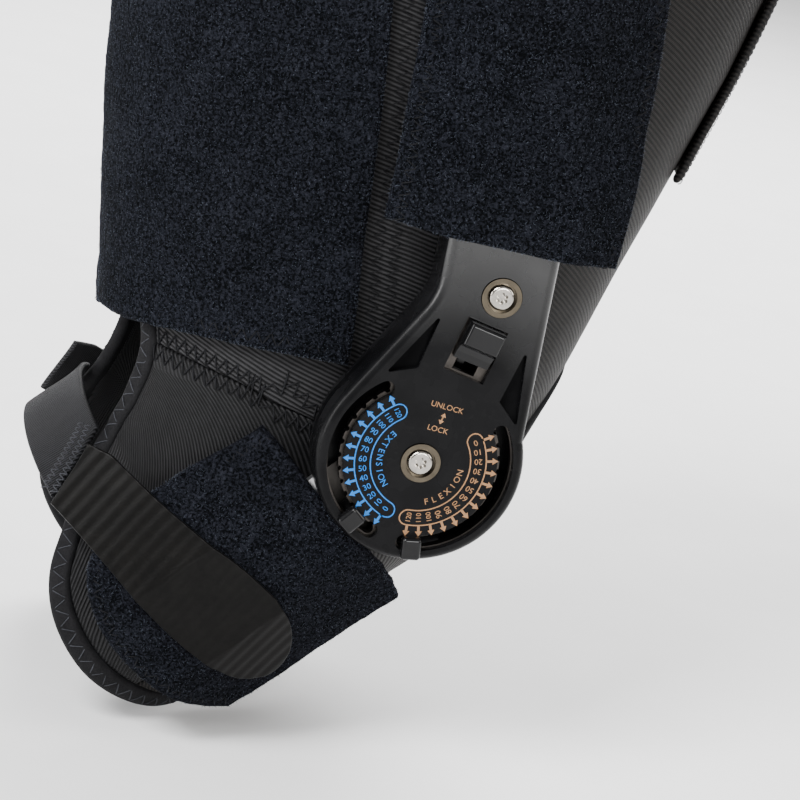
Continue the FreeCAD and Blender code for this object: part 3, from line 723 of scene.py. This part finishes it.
def moulded(name, colour, roughness, grain=0.25, depth=0.012, gloss=0.5, dial_gloss=None):
    """Moulded plastic with a fine spark-eroded texture and slightly uneven gloss.
    With dial_gloss the gloss is low round the printed dial at the knee axis and rises towards the neck, so
    that the lamps' sheen shows on the neck and the dial stays dark: painted sheen and shade made with gloss.
    The floors of the recesses are duller still, as painted shade."""
    f = Finish(name, roughness, gloss=gloss)
    broad = f.noise(12.0)
    lighter = tuple(min(1.0, c * 1.5 + 0.002) for c in colour)
    f.surface(Base_Color=f.ramp(broad, colour, lighter),
              Roughness=f.maths("ADD", f.mix((broad, 0.14)), roughness - 0.07))
    if dial_gloss:
        # painted sheen and shade: gloss low on the dial, high on the neck, and cut on the recess floors so
        # that they look shaded
        fade = f.node("ShaderNodeMapRange", Value=f.axis_distance(), From_Min=DIAL_REACH * MM,
                      From_Max=NECK_REACH * MM, To_Min=dial_gloss, To_Max=gloss)
        out = f.maths("ABSOLUTE", f.node("ShaderNodeSeparateXYZ", Vector=f.coords).outputs[1])
        off_floor = f.maths("ABSOLUTE", f.maths("SUBTRACT", out, RECESS_FLOOR * MM))
        raised = f.maths("MAXIMUM", f.maths("GREATER_THAN", off_floor, 0.15 * MM), 0.2)
        f.surface(Specular_IOR_Level=f.maths("MULTIPLY", fade.outputs["Result"], raised))
    f.bump(f.noise(grain), depth)
    return f.material


def metal(name, colour, roughness, stretch=(1, 1, 1), grain=0.3, depth=0.006, coated=False):
    """Metal with brushed or smooth scratches; stretch lengthens them along an axis.
    A coated piece is black within COAT_RADIUS of the knee axis."""
    f = Finish(name, roughness, 1.0)
    stretched = f.node("ShaderNodeMapping", Vector=f.coords, Scale=stretch).outputs[0]
    scratches = f.noise(grain, 4.0, coords=stretched)
    tint = f.ramp(f.noise(3.0), tuple(c * 0.72 for c in colour), colour)
    if coated:
        coating = f.tree.nodes.new("ShaderNodeMix")
        coating.data_type = "RGBA"
        f.feed(coating.inputs["Factor"], f.maths("GREATER_THAN", f.axis_distance(), COAT_RADIUS * MM))
        f.feed(coating.inputs[6], (0.03, 0.028, 0.026, 1))
        f.feed(coating.inputs[7], tint)
        tint = coating.outputs[2]
    f.surface(Base_Color=tint,
              Roughness=f.maths("ADD", f.mix((scratches, 0.2)), max(roughness - 0.1, 0.02)))
    f.bump(scratches, depth)
    return f.material


def printed(name, colour):
    f = Finish(name, 0.6, gloss=0.1)
    f.surface(Base_Color=f.ramp(f.noise(0.35), tuple(c * 0.75 for c in colour), colour, 0.3, 0.6))
    return f.material


BRUSHED = (1, 1, 0.06)
# the light colours are those of the ridge tops, with painted sheen; the dark ones are the valleys, with
# painted shade
RIB_UPPER = ribbed("ribbed_upper", -20)
RIB_GUSSET = ribbed("ribbed_gusset", -52, light=(0.014, 0.0138, 0.0150))
RIB_FRONT = ribbed("ribbed_front", -32, light=(0.015, 0.0128, 0.0115))
PILE = pile_cloth("loop_pile", (0.0011, 0.0013, 0.0020), (0.023, 0.025, 0.034))
# the fibres' colour is the navy of the yarn, made paler as painted sheen in place of a sheen lobe
FIBRE_WITH_PAINTED_SHEEN = plain_cloth("pile_fibre_painted_sheen", (0.020, 0.024, 0.036), (0.10, 0.115, 0.15), 1.5, depth=0.12)
TAPE = plain_cloth("binding_tape", (0.0014, 0.0014, 0.0018), (0.009, 0.0088, 0.0100), 0.5, depth=0.2)
DARK_THREAD = plain_cloth("dark_thread", (0.0012, 0.0012, 0.0016), (0.007, 0.0072, 0.009), roughness=0.7)
THREAD = plain_cloth("stitch_thread", (0.012, 0.0125, 0.015), (0.045, 0.047, 0.055), roughness=0.6)
HOOK = plain_cloth("hook_tape", (0.0012, 0.0012, 0.0012), (0.005, 0.0046, 0.0042), 0.6, 0.36, gloss=0.07)
# the elastic's ribs are painted the same way: painted sheen on the ridges, painted shade in the valleys
ELASTIC = ribbed("woven_elastic", 88, 0.9, (0.0010, 0.0010, 0.0013), (0.022, 0.022, 0.025))
# dial_gloss keeps the lamps' sheen off the dial and darkens the recess floors: painted sheen and painted
# shade
SATIN_BLACK = moulded("satin_black_plastic", (0.0020, 0.0020, 0.0023), 0.27, gloss=0.50, dial_gloss=0.075)
GLOSS_BLACK = moulded("gloss_black_plastic", (0.002, 0.002, 0.0023), 0.16, 0.6, 0.006, 0.22)
ARM_DARK = metal("arm_brown_anodised", (0.050, 0.045, 0.041), 0.42, BRUSHED)
ALUMINIUM = metal("arm_aluminium", (0.74, 0.74, 0.75), 0.36, BRUSHED)
COATED_HUB = metal("arm_coated_hub", (0.74, 0.74, 0.75), 0.36, BRUSHED, coated=True)
CHROME = metal("screw_chrome", (0.40, 0.375, 0.34), 0.13, grain=0.5, depth=0.05)
BRASS = metal("cup_brass", (0.09, 0.076, 0.056), 0.2, grain=0.5, depth=0.012)
ZINC = metal("zinc_steel", (0.6, 0.6, 0.62), 0.35)
SPRING = metal("spring_steel", (0.5, 0.5, 0.53), 0.3, (1, 1, 0.1))
WASHER = moulded("washer_polymer", (0.62, 0.60, 0.55), 0.5)
PRINT_BLUE = printed("print_blue", (0.020, 0.17, 0.52))
PRINT_TAN = printed("print_tan", (0.33, 0.18, 0.09))

CAD_FINISH = {
    "hinge_front_cover": SATIN_BLACK, "hinge_back_cover": SATIN_BLACK,
    "upper_arm": ARM_DARK, "lower_arm": COATED_HUB, "neck_spacer": ALUMINIUM,
    "extension_stop": GLOSS_BLACK, "flexion_stop": GLOSS_BLACK, "lock_slider": GLOSS_BLACK,
    "wear_washers": WASHER, "lock_spring": SPRING, "pivot_barrel": ZINC, "arm_nut": ZINC,
    "pivot_screw": CHROME, "arm_screw": CHROME, "cup_washers": BRASS,
}


def finish_cad_nodes():
    for hand in ("lateral_", "medial_"):
        for name, material in CAD_FINISH.items():
            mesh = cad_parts[hand + name].data
            mesh.materials.clear()
            mesh.materials.append(material)


finish_cad_nodes()

# -------- how pieces are attached to a body or baked in place


def follow(piece, how, nodes=()):
    """how is a body's name, to which the piece is attached; bend and cuff_bend, for cloth that crosses the
    knee, only bake the piece's place into its mesh.
    """
    if how == "bend":
        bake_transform(piece)
    elif how == "cuff_bend":
        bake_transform(piece)
    else:
        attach(piece, how)
    if nodes:
        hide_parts(*nodes)


def stitch(name, paths, radius, thread, how, medial=False):
    follow(tube(name, paths, radius, thread, medial), how)


HANDS = (("lateral_", False), ("medial_", True))
FINE, MEDIUM, HEAVY = 0.15, 0.17, 0.24   # radii of threads

# -------- outlines on the leg

PANEL_TOP = THIGH_TOP - BINDING_WIDTH
CALF_SEAM = 45.0                         # distance down the calf of the seam across the shin
SHIN_SPLIT = -15.0
KNEE_FRONT = np.array([math.sin(math.radians(75)), 0, -math.cos(math.radians(75))])
KNEE_UP = np.array([-KNEE_FRONT[2], 0, KNEE_FRONT[0]])
KNEE_RING_MIDDLE = 3.55                  # u of the kneecap opening's middle
KNEE_STEP = 0.15
PATELLA_RADIUS = 24.0


def height_at(z, a):
    """The (u, a) at a height on the thigh."""
    heights = leg(SURVEY, np.full(len(SURVEY), a))[:, 2]
    return float(np.interp(-z, -heights, SURVEY)), a


def down_at(down, a):
    """The (u, a) at a distance down the calf."""
    depths = leg(SURVEY, np.full(len(SURVEY), a)) @ DOWN_CALF
    return float(np.interp(down, depths, SURVEY)), a


def level_curve(z, start, end, count=50):
    """A level curve round the thigh between two angles."""
    return even(np.array([height_at(z, a) for a in np.linspace(start, end, count)]))


def down_curve(down, start, end, count=30):
    return even(np.array([down_at(down, a) for a in np.linspace(start, end, count)]))


def joined(*curves):
    """Curves that follow each other, as one evenly spaced curve."""
    return even(np.vstack([curves[0]] + [c[1:] for c in curves[1:]]), 260)


def nearest(curve, spot):
    return int(np.argmin(np.linalg.norm(leg(curve[:, 0], curve[:, 1]) - leg(*spot), axis=1)))


def between(curve, a, b):
    """The part of a curve between two of its points."""
    i, j = nearest(curve, a), nearest(curve, b)
    return even(curve[i:j + 1]) if i < j else even(curve[j:i + 1][::-1])


def knee_circle(radius, count=240):
    """A circle round the kneecap, seen from the front of the knee, as (u, a)."""
    points = []
    for t in np.linspace(0, TAU, count, endpoint=False):
        u, a = KNEE_RING_MIDDLE, 0.0
        for _ in range(12):
            p = leg(u, a)
            du, da = slopes(u, a)
            m = np.array([[du @ KNEE_UP, da @ KNEE_UP], [du[1], da[1]]])
            miss = np.array([radius * math.cos(t) - p @ KNEE_UP, -radius * math.sin(t) - p[1]])
            u, a = (u, a) + np.clip(np.linalg.solve(m, miss), -KNEE_STEP, KNEE_STEP)
        points.append((u, a))
    return np.array(points)


# the bound edge: from behind the knee down the calf's side, and up over the shin to its middle
tongue = calf((44.9, 61.6), (50.3, 56.3), (58, 51.2), (69, 45.9), (84, 39.1), (92, 34.6),
              (101, 28.4), (107.3, 20.4), (111.0, 9.5), (112.0, -3), (109.5, -16), (104, -28))
half_edge = rounded(np.vstack([side((-78.5, 25), (-77, 18)), tongue, down_at(95, math.radians(-36)),
                               down_at(86, math.radians(-24)), down_at(80, math.radians(-12)),
                               down_at(78, 0.0)]), 320)
half_inner = inset(half_edge, BINDING_WIDTH)
middle_spot = len(half_edge) // 2        # the inner line has to be nearer the knee there
if leg(*half_inner[middle_spot]) @ DOWN_CALF > leg(*half_edge[middle_spot]) @ DOWN_CALF:
    half_inner = inset(half_edge, -BINDING_WIDTH)
half_inner[-1, 1] = 0.0

seam_front = side((12.0, -10.6))[0]
seam_back = half_inner[nearest(half_inner, side((-70.5, 11.4))[0])]
zigzag_seam = rounded(np.vstack([seam_back, side((-62, 10.4), (-43, 6.3), (-23, 0.8), (-6, -4.6)),
                                 seam_front]))
tongue_front = half_inner[nearest(half_inner, calf((103, SHIN_SPLIT))[0])]
tongue_back = half_inner[nearest(half_inner, calf((97, 22))[0])]
side_top = side((12.0, PANEL_TOP))[0]
shin_corner = calf((CALF_SEAM, SHIN_SPLIT))[0]

# -------- sleeve

def make_sleeve_sides():
    """The panel above the zigzag seam and the panel below it, on both sides of the knee."""
    rear = joined(between(half_inner, seam_back, half_inner[0]),
                  np.vstack([half_inner[0], side((-66, 50))]),
                  side((-66, 50), (-62, 80), (-62, PANEL_TOP)))
    upper = patch(zigzag_seam, side((-62, PANEL_TOP), (-25, PANEL_TOP), (12, PANEL_TOP)), rear,
                  side((12, -10.6), (12, 40), (12, PANEL_TOP)), spacing=1.6)
    shin_side = calf((30, SHIN_SPLIT))
    front = joined(np.vstack([tongue_front, shin_corner]), np.vstack([shin_corner, shin_side]),
                   np.vstack([shin_side, seam_front]))
    lower = patch(between(half_inner, tongue_back, tongue_front), zigzag_seam,
                  between(half_inner, tongue_back, seam_back), front, spacing=1.6)
    for hand, medial in HANDS:
        for name, grid, cloth, seed, nodes in (
                ("thigh_panel_cloth", upper, RIB_UPPER, 11, [hand + "thigh_panel"]),
                ("lower_panel_cloth", lower, RIB_GUSSET, 12, [hand + "knee_gusset", hand + "calf_panel"])):
            follow(shell(hand + name, grid, -FABRIC, 0, cloth, medial=medial, seed=seed),
                   "bend", nodes)


def make_sleeve_front():
    """One panel from the top to the shin seam, with the opening over the kneecap, and the shin panel."""
    half = joined(level_curve(PANEL_TOP, 0, side_top[1]), side((12, PANEL_TOP), (12, 40), (12, -10.6)),
                  np.vstack([seam_front, calf((30, SHIN_SPLIT), (CALF_SEAM, SHIN_SPLIT))]),
                  down_curve(CALF_SEAM, shin_corner[1], 0))
    loop = np.vstack([half, (half * [1, -1])[::-1][1:-1]])
    inner = knee_circle(PATELLA_RADIUS + BINDING_WIDTH - 1)
    middle = surface_uv(np.array(KNEE_RING_MIDDLE), np.array(0.0))

    def bearing(curve):
        flat = surface_uv(curve[:, 0], curve[:, 1]) - middle
        return np.unwrap(np.arctan2(-flat[:, 0], flat[:, 1]))

    around = bearing(loop) % TAU
    order = np.argsort(around)
    turned = (around[order] + np.array([[-TAU], [0], [TAU]])).ravel()
    outer = resampled(np.vstack([loop[order]] * 3), turned, bearing(inner) % TAU)
    front = shell("front_panel_cloth", ring_patch(inner, outer), -FABRIC, 0, RIB_FRONT, closed=True, seed=13)
    follow(front, "bend", ["thigh_front_panel", "knee_front_panel"])
    hole, rim = knee_circle(PATELLA_RADIUS), knee_circle(PATELLA_RADIUS + BINDING_WIDTH)
    ring = shell("kneecap_ring_cloth", ring_patch(hole, rim, 1.0, 1.6), -FABRIC - 1.5, BINDING_PROUD + 0.6,
                 TAPE, edge=1.8, closed=True, seed=14)
    follow(ring, "bend", ["patella_ring"])
    low = between(half_inner, tongue_front, half_inner[-1])
    shin = patch(front_to_medial(low), front_to_medial(down_curve(CALF_SEAM, shin_corner[1], 0)),
                 straight(low[0], shin_corner), straight(low[0] * [1, -1], shin_corner * [1, -1]))
    follow(shell("shin_panel_cloth", shin, -FABRIC, 0, RIB_FRONT, seed=15), "calf",
           ["shin_panel"])


def make_bindings():
    edge, inner = front_to_medial(half_edge), front_to_medial(half_inner)
    back = side((-62, THIGH_TOP - 3))[0, 1]
    low, high = (front_to_medial(level_curve(z, back, 0)) for z in (PANEL_TOP, THIGH_TOP))
    for name, first, second, spacing, seed, how, nodes in (
            ("sleeve", edge, inner, 1.3, 16, "bend",
             ["lateral_edge_binding", "medial_edge_binding", "shin_binding"]),
            ("top", low, high, 1.4, 17, "thigh", ["thigh_top_binding"])):
        strip = ladder(first, second, spacing, 1.5, 12)
        follow(shell(name + "_edge_binding", strip, -FABRIC - BINDING_PROUD, BINDING_PROUD, TAPE, edge=1.8,
                     seed=seed), how, nodes)
    for name, line, how in (("edge", even((edge + inner) / 2, 900), "bend"),
                            ("top", even((low + high) / 2, 600), "thigh")):
        stitch(name + "_binding_zigzag", [zigzag(line, 4.2, 5.2, BINDING_PROUD)], MEDIUM, THREAD, how)
    paths = [zigzag(inset(even(zigzag_seam, 400), d), 4.2, 3.6, 0.12) for d in (-2.7, 2.7)]
    for hand, medial in HANDS:
        stitch(hand + "seam_zigzag", paths, HEAVY, DARK_THREAD, "bend", medial)


# -------- cuff, pockets and straps

STITCHED = LOOP_OUT - 0.2                # height of the stitches on loop cloth
HEM_GAP = 0.13                           # angle from the middle behind where the hem's stitch stops


def make_cuff():
    low = rounded(np.vstack([side((-21.3, 19.8), (-30, 19.9), (-43, 19.7), (-61, 18.6), (-77.5, 15.1),
                                  (-83, 12.8)), height_at(11.3, -math.pi)]))
    front = rounded(side((-21.3, 19.8), (-22.6, 45), (-25, 85), (-28, 120), (-30, THIGH_TOP)))
    top = level_curve(THIGH_TOP, front[-1, 1], -math.pi)
    low, top = behind_to_medial(low), behind_to_medial(top)
    other = front.copy()
    other[:, 1] = -TAU - other[:, 1]
    cuff = shell("back_cuff_pile", patch(low, top, front, other, spacing=1.15), LOOP_IN, LOOP_OUT, PILE,
                 edge=1.6, pile=0.16, seed=21, puckers=0.3)
    fibres = fuzz("back_cuff_fibres", cuff, 15000, 3500, 31)
    follow(cuff, "cuff_bend", ["back_thigh_cuff"])
    follow(fibres, "cuff_bend")
    threads = [zigzag(inset(even(front, 400), d), 3.4, 3.6, 0.12) for d in (-4.0, -8.0)]
    hem = even(low, 900)
    for half in (hem[hem[:, 1] > -math.pi + HEM_GAP], hem[hem[:, 1] < -math.pi - HEM_GAP]):
        threads.append(zigzag(inset(half, -3.6), 3.6, 3.8, STITCHED))
    stitch("back_cuff_zigzag", threads, FINE, DARK_THREAD, "cuff_bend")


POCKET_TOP = THIGH_TOP - 0.5
THIGH_POCKET_BACK, THIGH_POCKET_FRONT = (-20.8, 64), (41.5, 59.6)      # lower corners, in (x, z)
CALF_POCKET_REAR, CALF_POCKET_FRONT = (84, 28), (85, -30.5)            # lower corners, on the calf
MOUTH_REAR, MOUTH_FRONT = (29.2, 29), (28.4, -33.5)
MOUTH_BALD = 20                          # radius without fibres: a hinge cover passes at full flexion


def make_pockets():
    thigh = patch(rounded(side(THIGH_POCKET_BACK, (0, 62.8), (22, 61.2), THIGH_POCKET_FRONT)),
                  side((-20.8, POCKET_TOP), (10, POCKET_TOP), (41, POCKET_TOP)),
                  side(THIGH_POCKET_BACK, (-20.8, POCKET_TOP)), side(THIGH_POCKET_FRONT, (41, POCKET_TOP)),
                  spacing=1.0)
    lower = rounded(calf(CALF_POCKET_REAR, (92.5, 22.3), (97.6, 11), (98.6, -1), (96.6, -12),
                         (92.2, -22), CALF_POCKET_FRONT))
    rear = rounded(calf(CALF_POCKET_REAR, (73, 29.6), (60, 30), (45, 29.6), MOUTH_REAR))
    calf_grid = patch(lower, even(calf(MOUTH_REAR, (28.6, 0), MOUTH_FRONT)), rear,
                      even(calf(CALF_POCKET_FRONT, (56, -32), MOUTH_FRONT)), spacing=1.0)
    calf_line = inset(even(joined(rear[::-1], lower), 500), 3.2)
    calf_paths = [zigzag(calf_line, 3.2, 3.8, STITCHED, calf_tent)]
    thigh_lines = ((THIGH_POCKET_BACK, (-20.8, THIGH_TOP - 1), -3.4), ((41.5, 60), (41, THIGH_TOP - 1), 3.4))
    thigh_paths = [zigzag(inset(even(side(low, high), 400), d), 3.4, 3.4, STITCHED, thigh_tent)
                   for low, high, d in thigh_lines]
    for hand, medial in HANDS:
        for body, grid, tent, amount, seed, bald in (
                ("thigh", thigh, thigh_tent, 4500, 22, None),
                ("calf", calf_grid, calf_tent, 3600, 23, (calf_point(*MOUTH_REAR), MOUTH_BALD))):
            name = hand + body + "_pocket"
            pocket = shell(name + "_pile", grid, LOOP_IN, LOOP_OUT, PILE, edge=1.5, tent=tent,
                           skin=POCKET_SKIN, pile=0.14, medial=medial, seed=seed)
            fibres = fuzz(name + "_fibres", pocket, amount, 1200, seed + 10, bald)
            follow(pocket, body, [name])
            follow(fibres, body)
        stitch(hand + "calf_pocket_zigzag", calf_paths, FINE, DARK_THREAD, "calf", medial)
        stitch(hand + "thigh_pocket_zigzag", thigh_paths, FINE, DARK_THREAD, "thigh", medial)


RIDGE_HEIGHT = 0.065                     # moulded cross ridges of the hook tapes
RIDGE_PITCH = 2.7


TAB_TOP = ((71, 45.5), (63.7, 27))       # where the hook tab and the medial anchor begin
TAB_FOOT = ((89.2, 39.5), (85.7, 22))


def ridges_along(way):
    """Moulded cross ridges that follow each other in a direction."""
    return lambda p: RIDGE_HEIGHT * np.sin(TAU * (p @ way) / RIDGE_PITCH)


def make_straps():
    """Ridged hook tab on the lateral calf, the woven elastic behind, and its sewn medial end."""
    upper = rounded(calf(*TAB_TOP, (59.5, 14), (56.2, 3), (54.1, -9)))
    lower = rounded(calf(*TAB_FOOT, (82.9, 0.5), (79.5, -14)))
    tip = rounded(calf((79.5, -14), (76, -22.5), (69, -27.2), (61.5, -25), (56, -18), (54.1, -9)))
    start = even(calf(TAB_FOOT[0], TAB_TOP[0]))
    grid = patch(lower, upper, start, tip, spacing=0.42, edge=0.6)
    tab_run = (calf_point(66, -26) - calf_point(78.5, 48)) / np.linalg.norm([12.5, 74])
    tab = shell("lateral_hook_tab_moulded", grid, LOOP_OUT + 0.3, LOOP_OUT + 1.5, HOOK, edge=0.5,
                tent=calf_tent, lift=1.6, skin=1.2, ripple=ridges_along(tab_run), seed=24, puckers=0.08)
    follow(tab, "calf", ["lateral_calf_hook_tab"])
    top = behind_to_medial(down_curve(69.5, start[-1, 1], -math.pi))
    low = behind_to_medial(down_curve(90.5, start[0, 1], -math.pi))
    strap = shell("calf_back_elastic", ladder(low, top, 1.0, 0.7), LOOP_IN, LOOP_IN + 1.8, ELASTIC, edge=0.8,
                  seed=25)
    follow(strap, "calf", ["calf_back_strap"])
    paths = [zigzag(inset(even(start, 120), d), 2.6, 1.7, LOOP_OUT + 1.6) for d in (-1.6, 1.6)]
    stitch("hook_tab_zigzag", paths, MEDIUM, THREAD, "calf")
    low = even(calf(*TAB_FOOT, (82.9, 4)))
    high = even(calf(*TAB_TOP, (59.0, 8)))
    grid = patch(low, high, start, straight(low[-1], high[-1]), spacing=1.0, edge=0.7)
    anchor = shell("medial_strap_anchor_elastic", grid, LOOP_OUT + 0.2, LOOP_OUT + 1.6, ELASTIC, edge=0.8,
                   tent=calf_tent, lift=1.7, skin=1.4, medial=True, seed=26)
    follow(anchor, "calf", ["medial_strap_anchor"])


FLAP_HALF_WIDTH = 23
FLAP_NARROWING = 0.96                    # of its angle round the leg, at the top


def make_closures():
    """The medial hook panel that holds the cuff, and the flap down the front of the thigh."""
    low = side((-50, 92), (-30, 91), (-8, 90))
    high = side((-50, 138), (-30, 138), (-8, 138))
    grid = patch(even(low), even(high), even(side((-50, 92), (-50, 138))), even(side((-8, 90), (-8, 138))),
                 spacing=0.9, edge=0.6)
    hook = shell("medial_cuff_hook_moulded", grid, LOOP_OUT + 0.6, LOOP_OUT + 1.9, HOOK, edge=0.5,
                 ripple=ridges_along(np.array([0, 0, 1])), medial=True, seed=27, puckers=0.08)
    follow(hook, "thigh", ["medial_cuff_hook_panel"])
    edge_a = -math.asin((FLAP_HALF_WIDTH / 62.0) ** (1 / SECTION_POWER))
    low = front_to_medial(level_curve(76, edge_a, 0))
    high = front_to_medial(level_curve(134.5, edge_a * FLAP_NARROWING, 0))
    flap = shell("front_flap_cloth", ladder(low, high, 1.2), LOOP_IN, LOOP_OUT - 1, RIB_FRONT, edge=1.4,
                 seed=28)
    follow(flap, "thigh", ["front_closure_flap"])
    for name, end, d in (("lateral", 0, -2.6), ("medial", -1, 2.6)):
        line = inset(straight(low[end], high[end], 300), d)
        stitch("front_flap_stitches_" + name, [zigzag(line, 2.6, 3.6, LOOP_OUT - 1)], FINE, THREAD, "thigh")


# -------- printed dial

PRINT_THICK = 0.02
PRINT_FACE = FACE_OUT + 0.004
EXTENSION_ZERO = 191.3
FLEXION_ZERO = 46.0
SCALE_SPAN = 120
NUMBER_RADIUS = 15.75
NUMBER_SIZE = 2.3
WORD_RADIUS = 11.3
WORD_SIZE = 2.45
LABEL_SIZE = 2.2
SCALE_ARROW = (3.0, 0.7, 1.9, 1.5)       # length, stem width, head width and head length
LOCK_ARROW = (1.7, 0.4, 1.6, 1.1)


class Print:
    """Flat printing on one hinge cover, drawn as somebody sees it who looks at that cover."""

    def __init__(self, side_sign):
        self.sign = side_sign
        self.verts = []
        self.faces = []

    def place(self, flat, depth):
        return (self.sign * flat[0], -self.sign * (PRINT_FACE + depth), flat[1])

    def slab(self, outline):
        """A filled outline of (right, up) points, anticlockwise."""
        n = len(outline)
        first = len(self.verts)
        self.verts += [self.place(p, depth) for depth in (0, PRINT_THICK) for p in outline]
        bottom = list(range(first, first + n))
        self.faces += [bottom[::-1], [i + n for i in bottom]]
        self.faces += [[i, k, k + n, i + n] for i, k in zip(bottom, bottom[1:] + bottom[:1])]

    def polar(self, radius, degrees):
        """A point clockwise from the hinge's up direction, mirrored on the medial cover."""
        t = math.radians(HINGE_LEAN + degrees) * self.sign
        return np.array([radius * math.sin(t), radius * math.cos(t)])

    def strip(self, points, width):
        """A thin line of the given width along points."""
        points = np.array(points)
        run = np.gradient(points, axis=0)
        run /= np.linalg.norm(run, axis=1, keepdims=True)
        off = np.stack([-run[:, 1], run[:, 0]], 1) * width / 2
        for i in range(len(points) - 1):
            self.slab([points[i] - off[i], points[i + 1] - off[i + 1], points[i + 1] + off[i + 1],
                       points[i] + off[i]])

    def words(self, text, size, middle, angle):
        """Text centred on a point, read along an angle in radians anticlockwise from the right."""
        curve = bpy.data.curves.new("text", "FONT")
        curve.body = text
        curve.size = size
        curve.align_x = curve.align_y = "CENTER"
        curve.extrude = PRINT_THICK / 2
        curve.resolution_u = 3
        holder = add_object("text", curve)
        bpy.context.view_layer.update()
        evaluated = holder.evaluated_get(bpy.context.evaluated_depsgraph_get())
        mesh = bpy.data.meshes.new_from_object(evaluated)
        first = len(self.verts)
        c, s = math.cos(angle), math.sin(angle)
        for v in mesh.vertices:
            flat = (middle[0] + v.co.x * c - v.co.y * s, middle[1] + v.co.x * s + v.co.y * c)
            self.verts.append(self.place(flat, v.co.z + PRINT_THICK / 2))
        self.faces += [[first + i for i in p.vertices] for p in mesh.polygons]
        bpy.data.objects.remove(holder)
        bpy.data.meshes.remove(mesh)
        bpy.data.curves.remove(curve)

    def arc_words(self, text, size, radius, degrees, pitch):
        """Letters on an arc, tops towards the pivot, read anticlockwise."""
        for i, letter in enumerate(text):
            offset = pitch * (i - (len(text) - 1) / 2)
            t = math.radians(HINGE_LEAN + degrees) * self.sign - math.radians(offset)
            middle = np.array([math.sin(t), math.cos(t)]) * radius
            self.words(letter, size, middle, math.pi - t)

    def capsule(self, zero):
        """The outline round the numbers of one scale."""
        inner, outer, extra = 13.6, 17.9, 1.5
        middle, half = (inner + outer) / 2, (outer - inner) / 2
        start, end = zero - extra, zero + SCALE_SPAN + extra
        sweep = np.linspace(start, end, 50)
        turns = [(half * math.cos(t), math.degrees(half * math.sin(t) / middle))
                 for t in np.linspace(0, math.pi, 14)[1:-1]]
        points = [self.polar(outer, degrees) for degrees in sweep]
        points += [self.polar(middle + out, end + ahead) for out, ahead in turns]
        points += [self.polar(inner, degrees) for degrees in sweep[::-1]]
        points += [self.polar(middle - out, start - ahead) for out, ahead in turns]
        self.strip(points + points[:2], 0.34)

    def scale(self, zero, word, word_at, pitch):
        for step in range(SCALE_SPAN // 10 + 1):
            degrees = zero + step * 10
            spot = self.polar(NUMBER_RADIUS, degrees)
            inward = -self.polar(1, degrees)
            size = NUMBER_SIZE if step < 10 else NUMBER_SIZE * 0.86
            self.words(str(step * 10), size, spot, math.atan2(inward[1], inward[0]))
            self.arrow(self.polar(18.1, degrees), -inward, *SCALE_ARROW)
        self.capsule(zero)
        self.arc_words(word, WORD_SIZE, WORD_RADIUS, word_at, pitch)

    def arrow(self, foot, way, length, stem, head_width, head_length):
        across = np.array([way[1], -way[0]])
        neck = foot + way * (length - head_length)
        tip = foot + way * length
        outline = [foot - across * stem / 2, neck - across * stem / 2, neck - across * head_width / 2, tip,
                   neck + across * head_width / 2, neck + across * stem / 2, foot + across * stem / 2]
        self.slab(outline[::-1])

    def make(self, name, material, slot_name):
        follow(new_object(name, self.verts, self.faces, material, smooth=False), "thigh")


def make_prints():
    for hand, sign in (("lateral_", 1), ("medial_", -1)):
        for name, zero, word, word_at, pitch, ink, slot in (
                ("extension", EXTENSION_ZERO, "EXTENSION", 64, 9.7, PRINT_BLUE, "print_blue"),
                ("flexion", FLEXION_ZERO, "FLEXION", 68, 10.8, PRINT_TAN, "print_tan")):
            scale = Print(sign)
            scale.scale(zero, word, zero + word_at, pitch)
            scale.make(hand + name + "_scale", ink, slot)
        labels = Print(sign)
        reading = -math.radians(HINGE_LEAN - 7) * sign
        labels.words("UNLOCK", LABEL_SIZE, labels.polar(16.9, -0.5), reading)
        labels.words("LOCK", LABEL_SIZE, labels.polar(10.3, 1), reading)
        up = labels.polar(1, 0)
        labels.arrow(labels.polar(13.5, 0), up, *LOCK_ARROW)
        labels.arrow(labels.polar(13.6, 0), -up, *LOCK_ARROW)
        labels.make(hand + "lock_labels", PRINT_TAN, "print_tan")


# -------- floor and light

FLOOR_HALF = 3000.0
FLOOR_GAP = 4.0                          # between the lowest point of the brace and the floor


def make_floor():
    level = float(cad_box[0][2]) / MM - FLOOR_GAP
    paper = Finish("floor_paper", 0.85)
    paper.surface(Base_Color=paper.ramp(paper.noise(40.0, 2.0), (0.92, 0.92, 0.925), (0.95, 0.95, 0.955)))
    corners = [(x * FLOOR_HALF, y * FLOOR_HALF, level) for x, y in ((-1, -1), (1, -1), (1, 1), (-1, 1))]
    new_object("floor", corners, [(0, 1, 2, 3)], paper.material, smooth=False)


def area_light(name, place, size, power, colour=(1, 1, 1), aim=(-0.02, 0, 0.02)):
    """A soft lamp; place, size and aim are in metres."""
    data = bpy.data.lights.new(name, "AREA")
    data.shape = "RECTANGLE"
    data.size, data.size_y = size
    data.energy = power
    data.color = colour
    lamp = add_object(name, data)
    lamp.location = place
    lamp.rotation_euler = (Vector(aim) - Vector(place)).to_track_quat("-Z", "Y").to_euler()
    return lamp


def make_lights():
    world = bpy.data.worlds.new("studio")
    world.use_nodes = True
    background = world.node_tree.nodes["Background"].inputs
    background["Color"].default_value = (1, 1, 1, 1)
    background["Strength"].default_value = 0.62
    bpy.context.scene.world = world
    area_light("key", (-0.75, -0.75, 1.0), (0.5, 0.5), 34)
    area_light("side", (-1.15, -0.35, 0.2), (0.3, 0.8), 12)
    area_light("fill", (1.25, -0.45, 0.6), (0.5, 0.7), 10, colour=(1, 0.97, 0.93))
    area_light("back", (0.3, 1.1, 0.9), (0.9, 0.6), 40)
    sheen = area_light("neck_sheen", (0.24, -1.15, 0.24), (0.55, 0.42), 12)
    sheen.visible_diffuse = False


for make in (make_sleeve_sides, make_sleeve_front, make_bindings, make_cuff, make_pockets, make_straps,
             make_closures, make_prints, make_floor, make_lights):
    make()
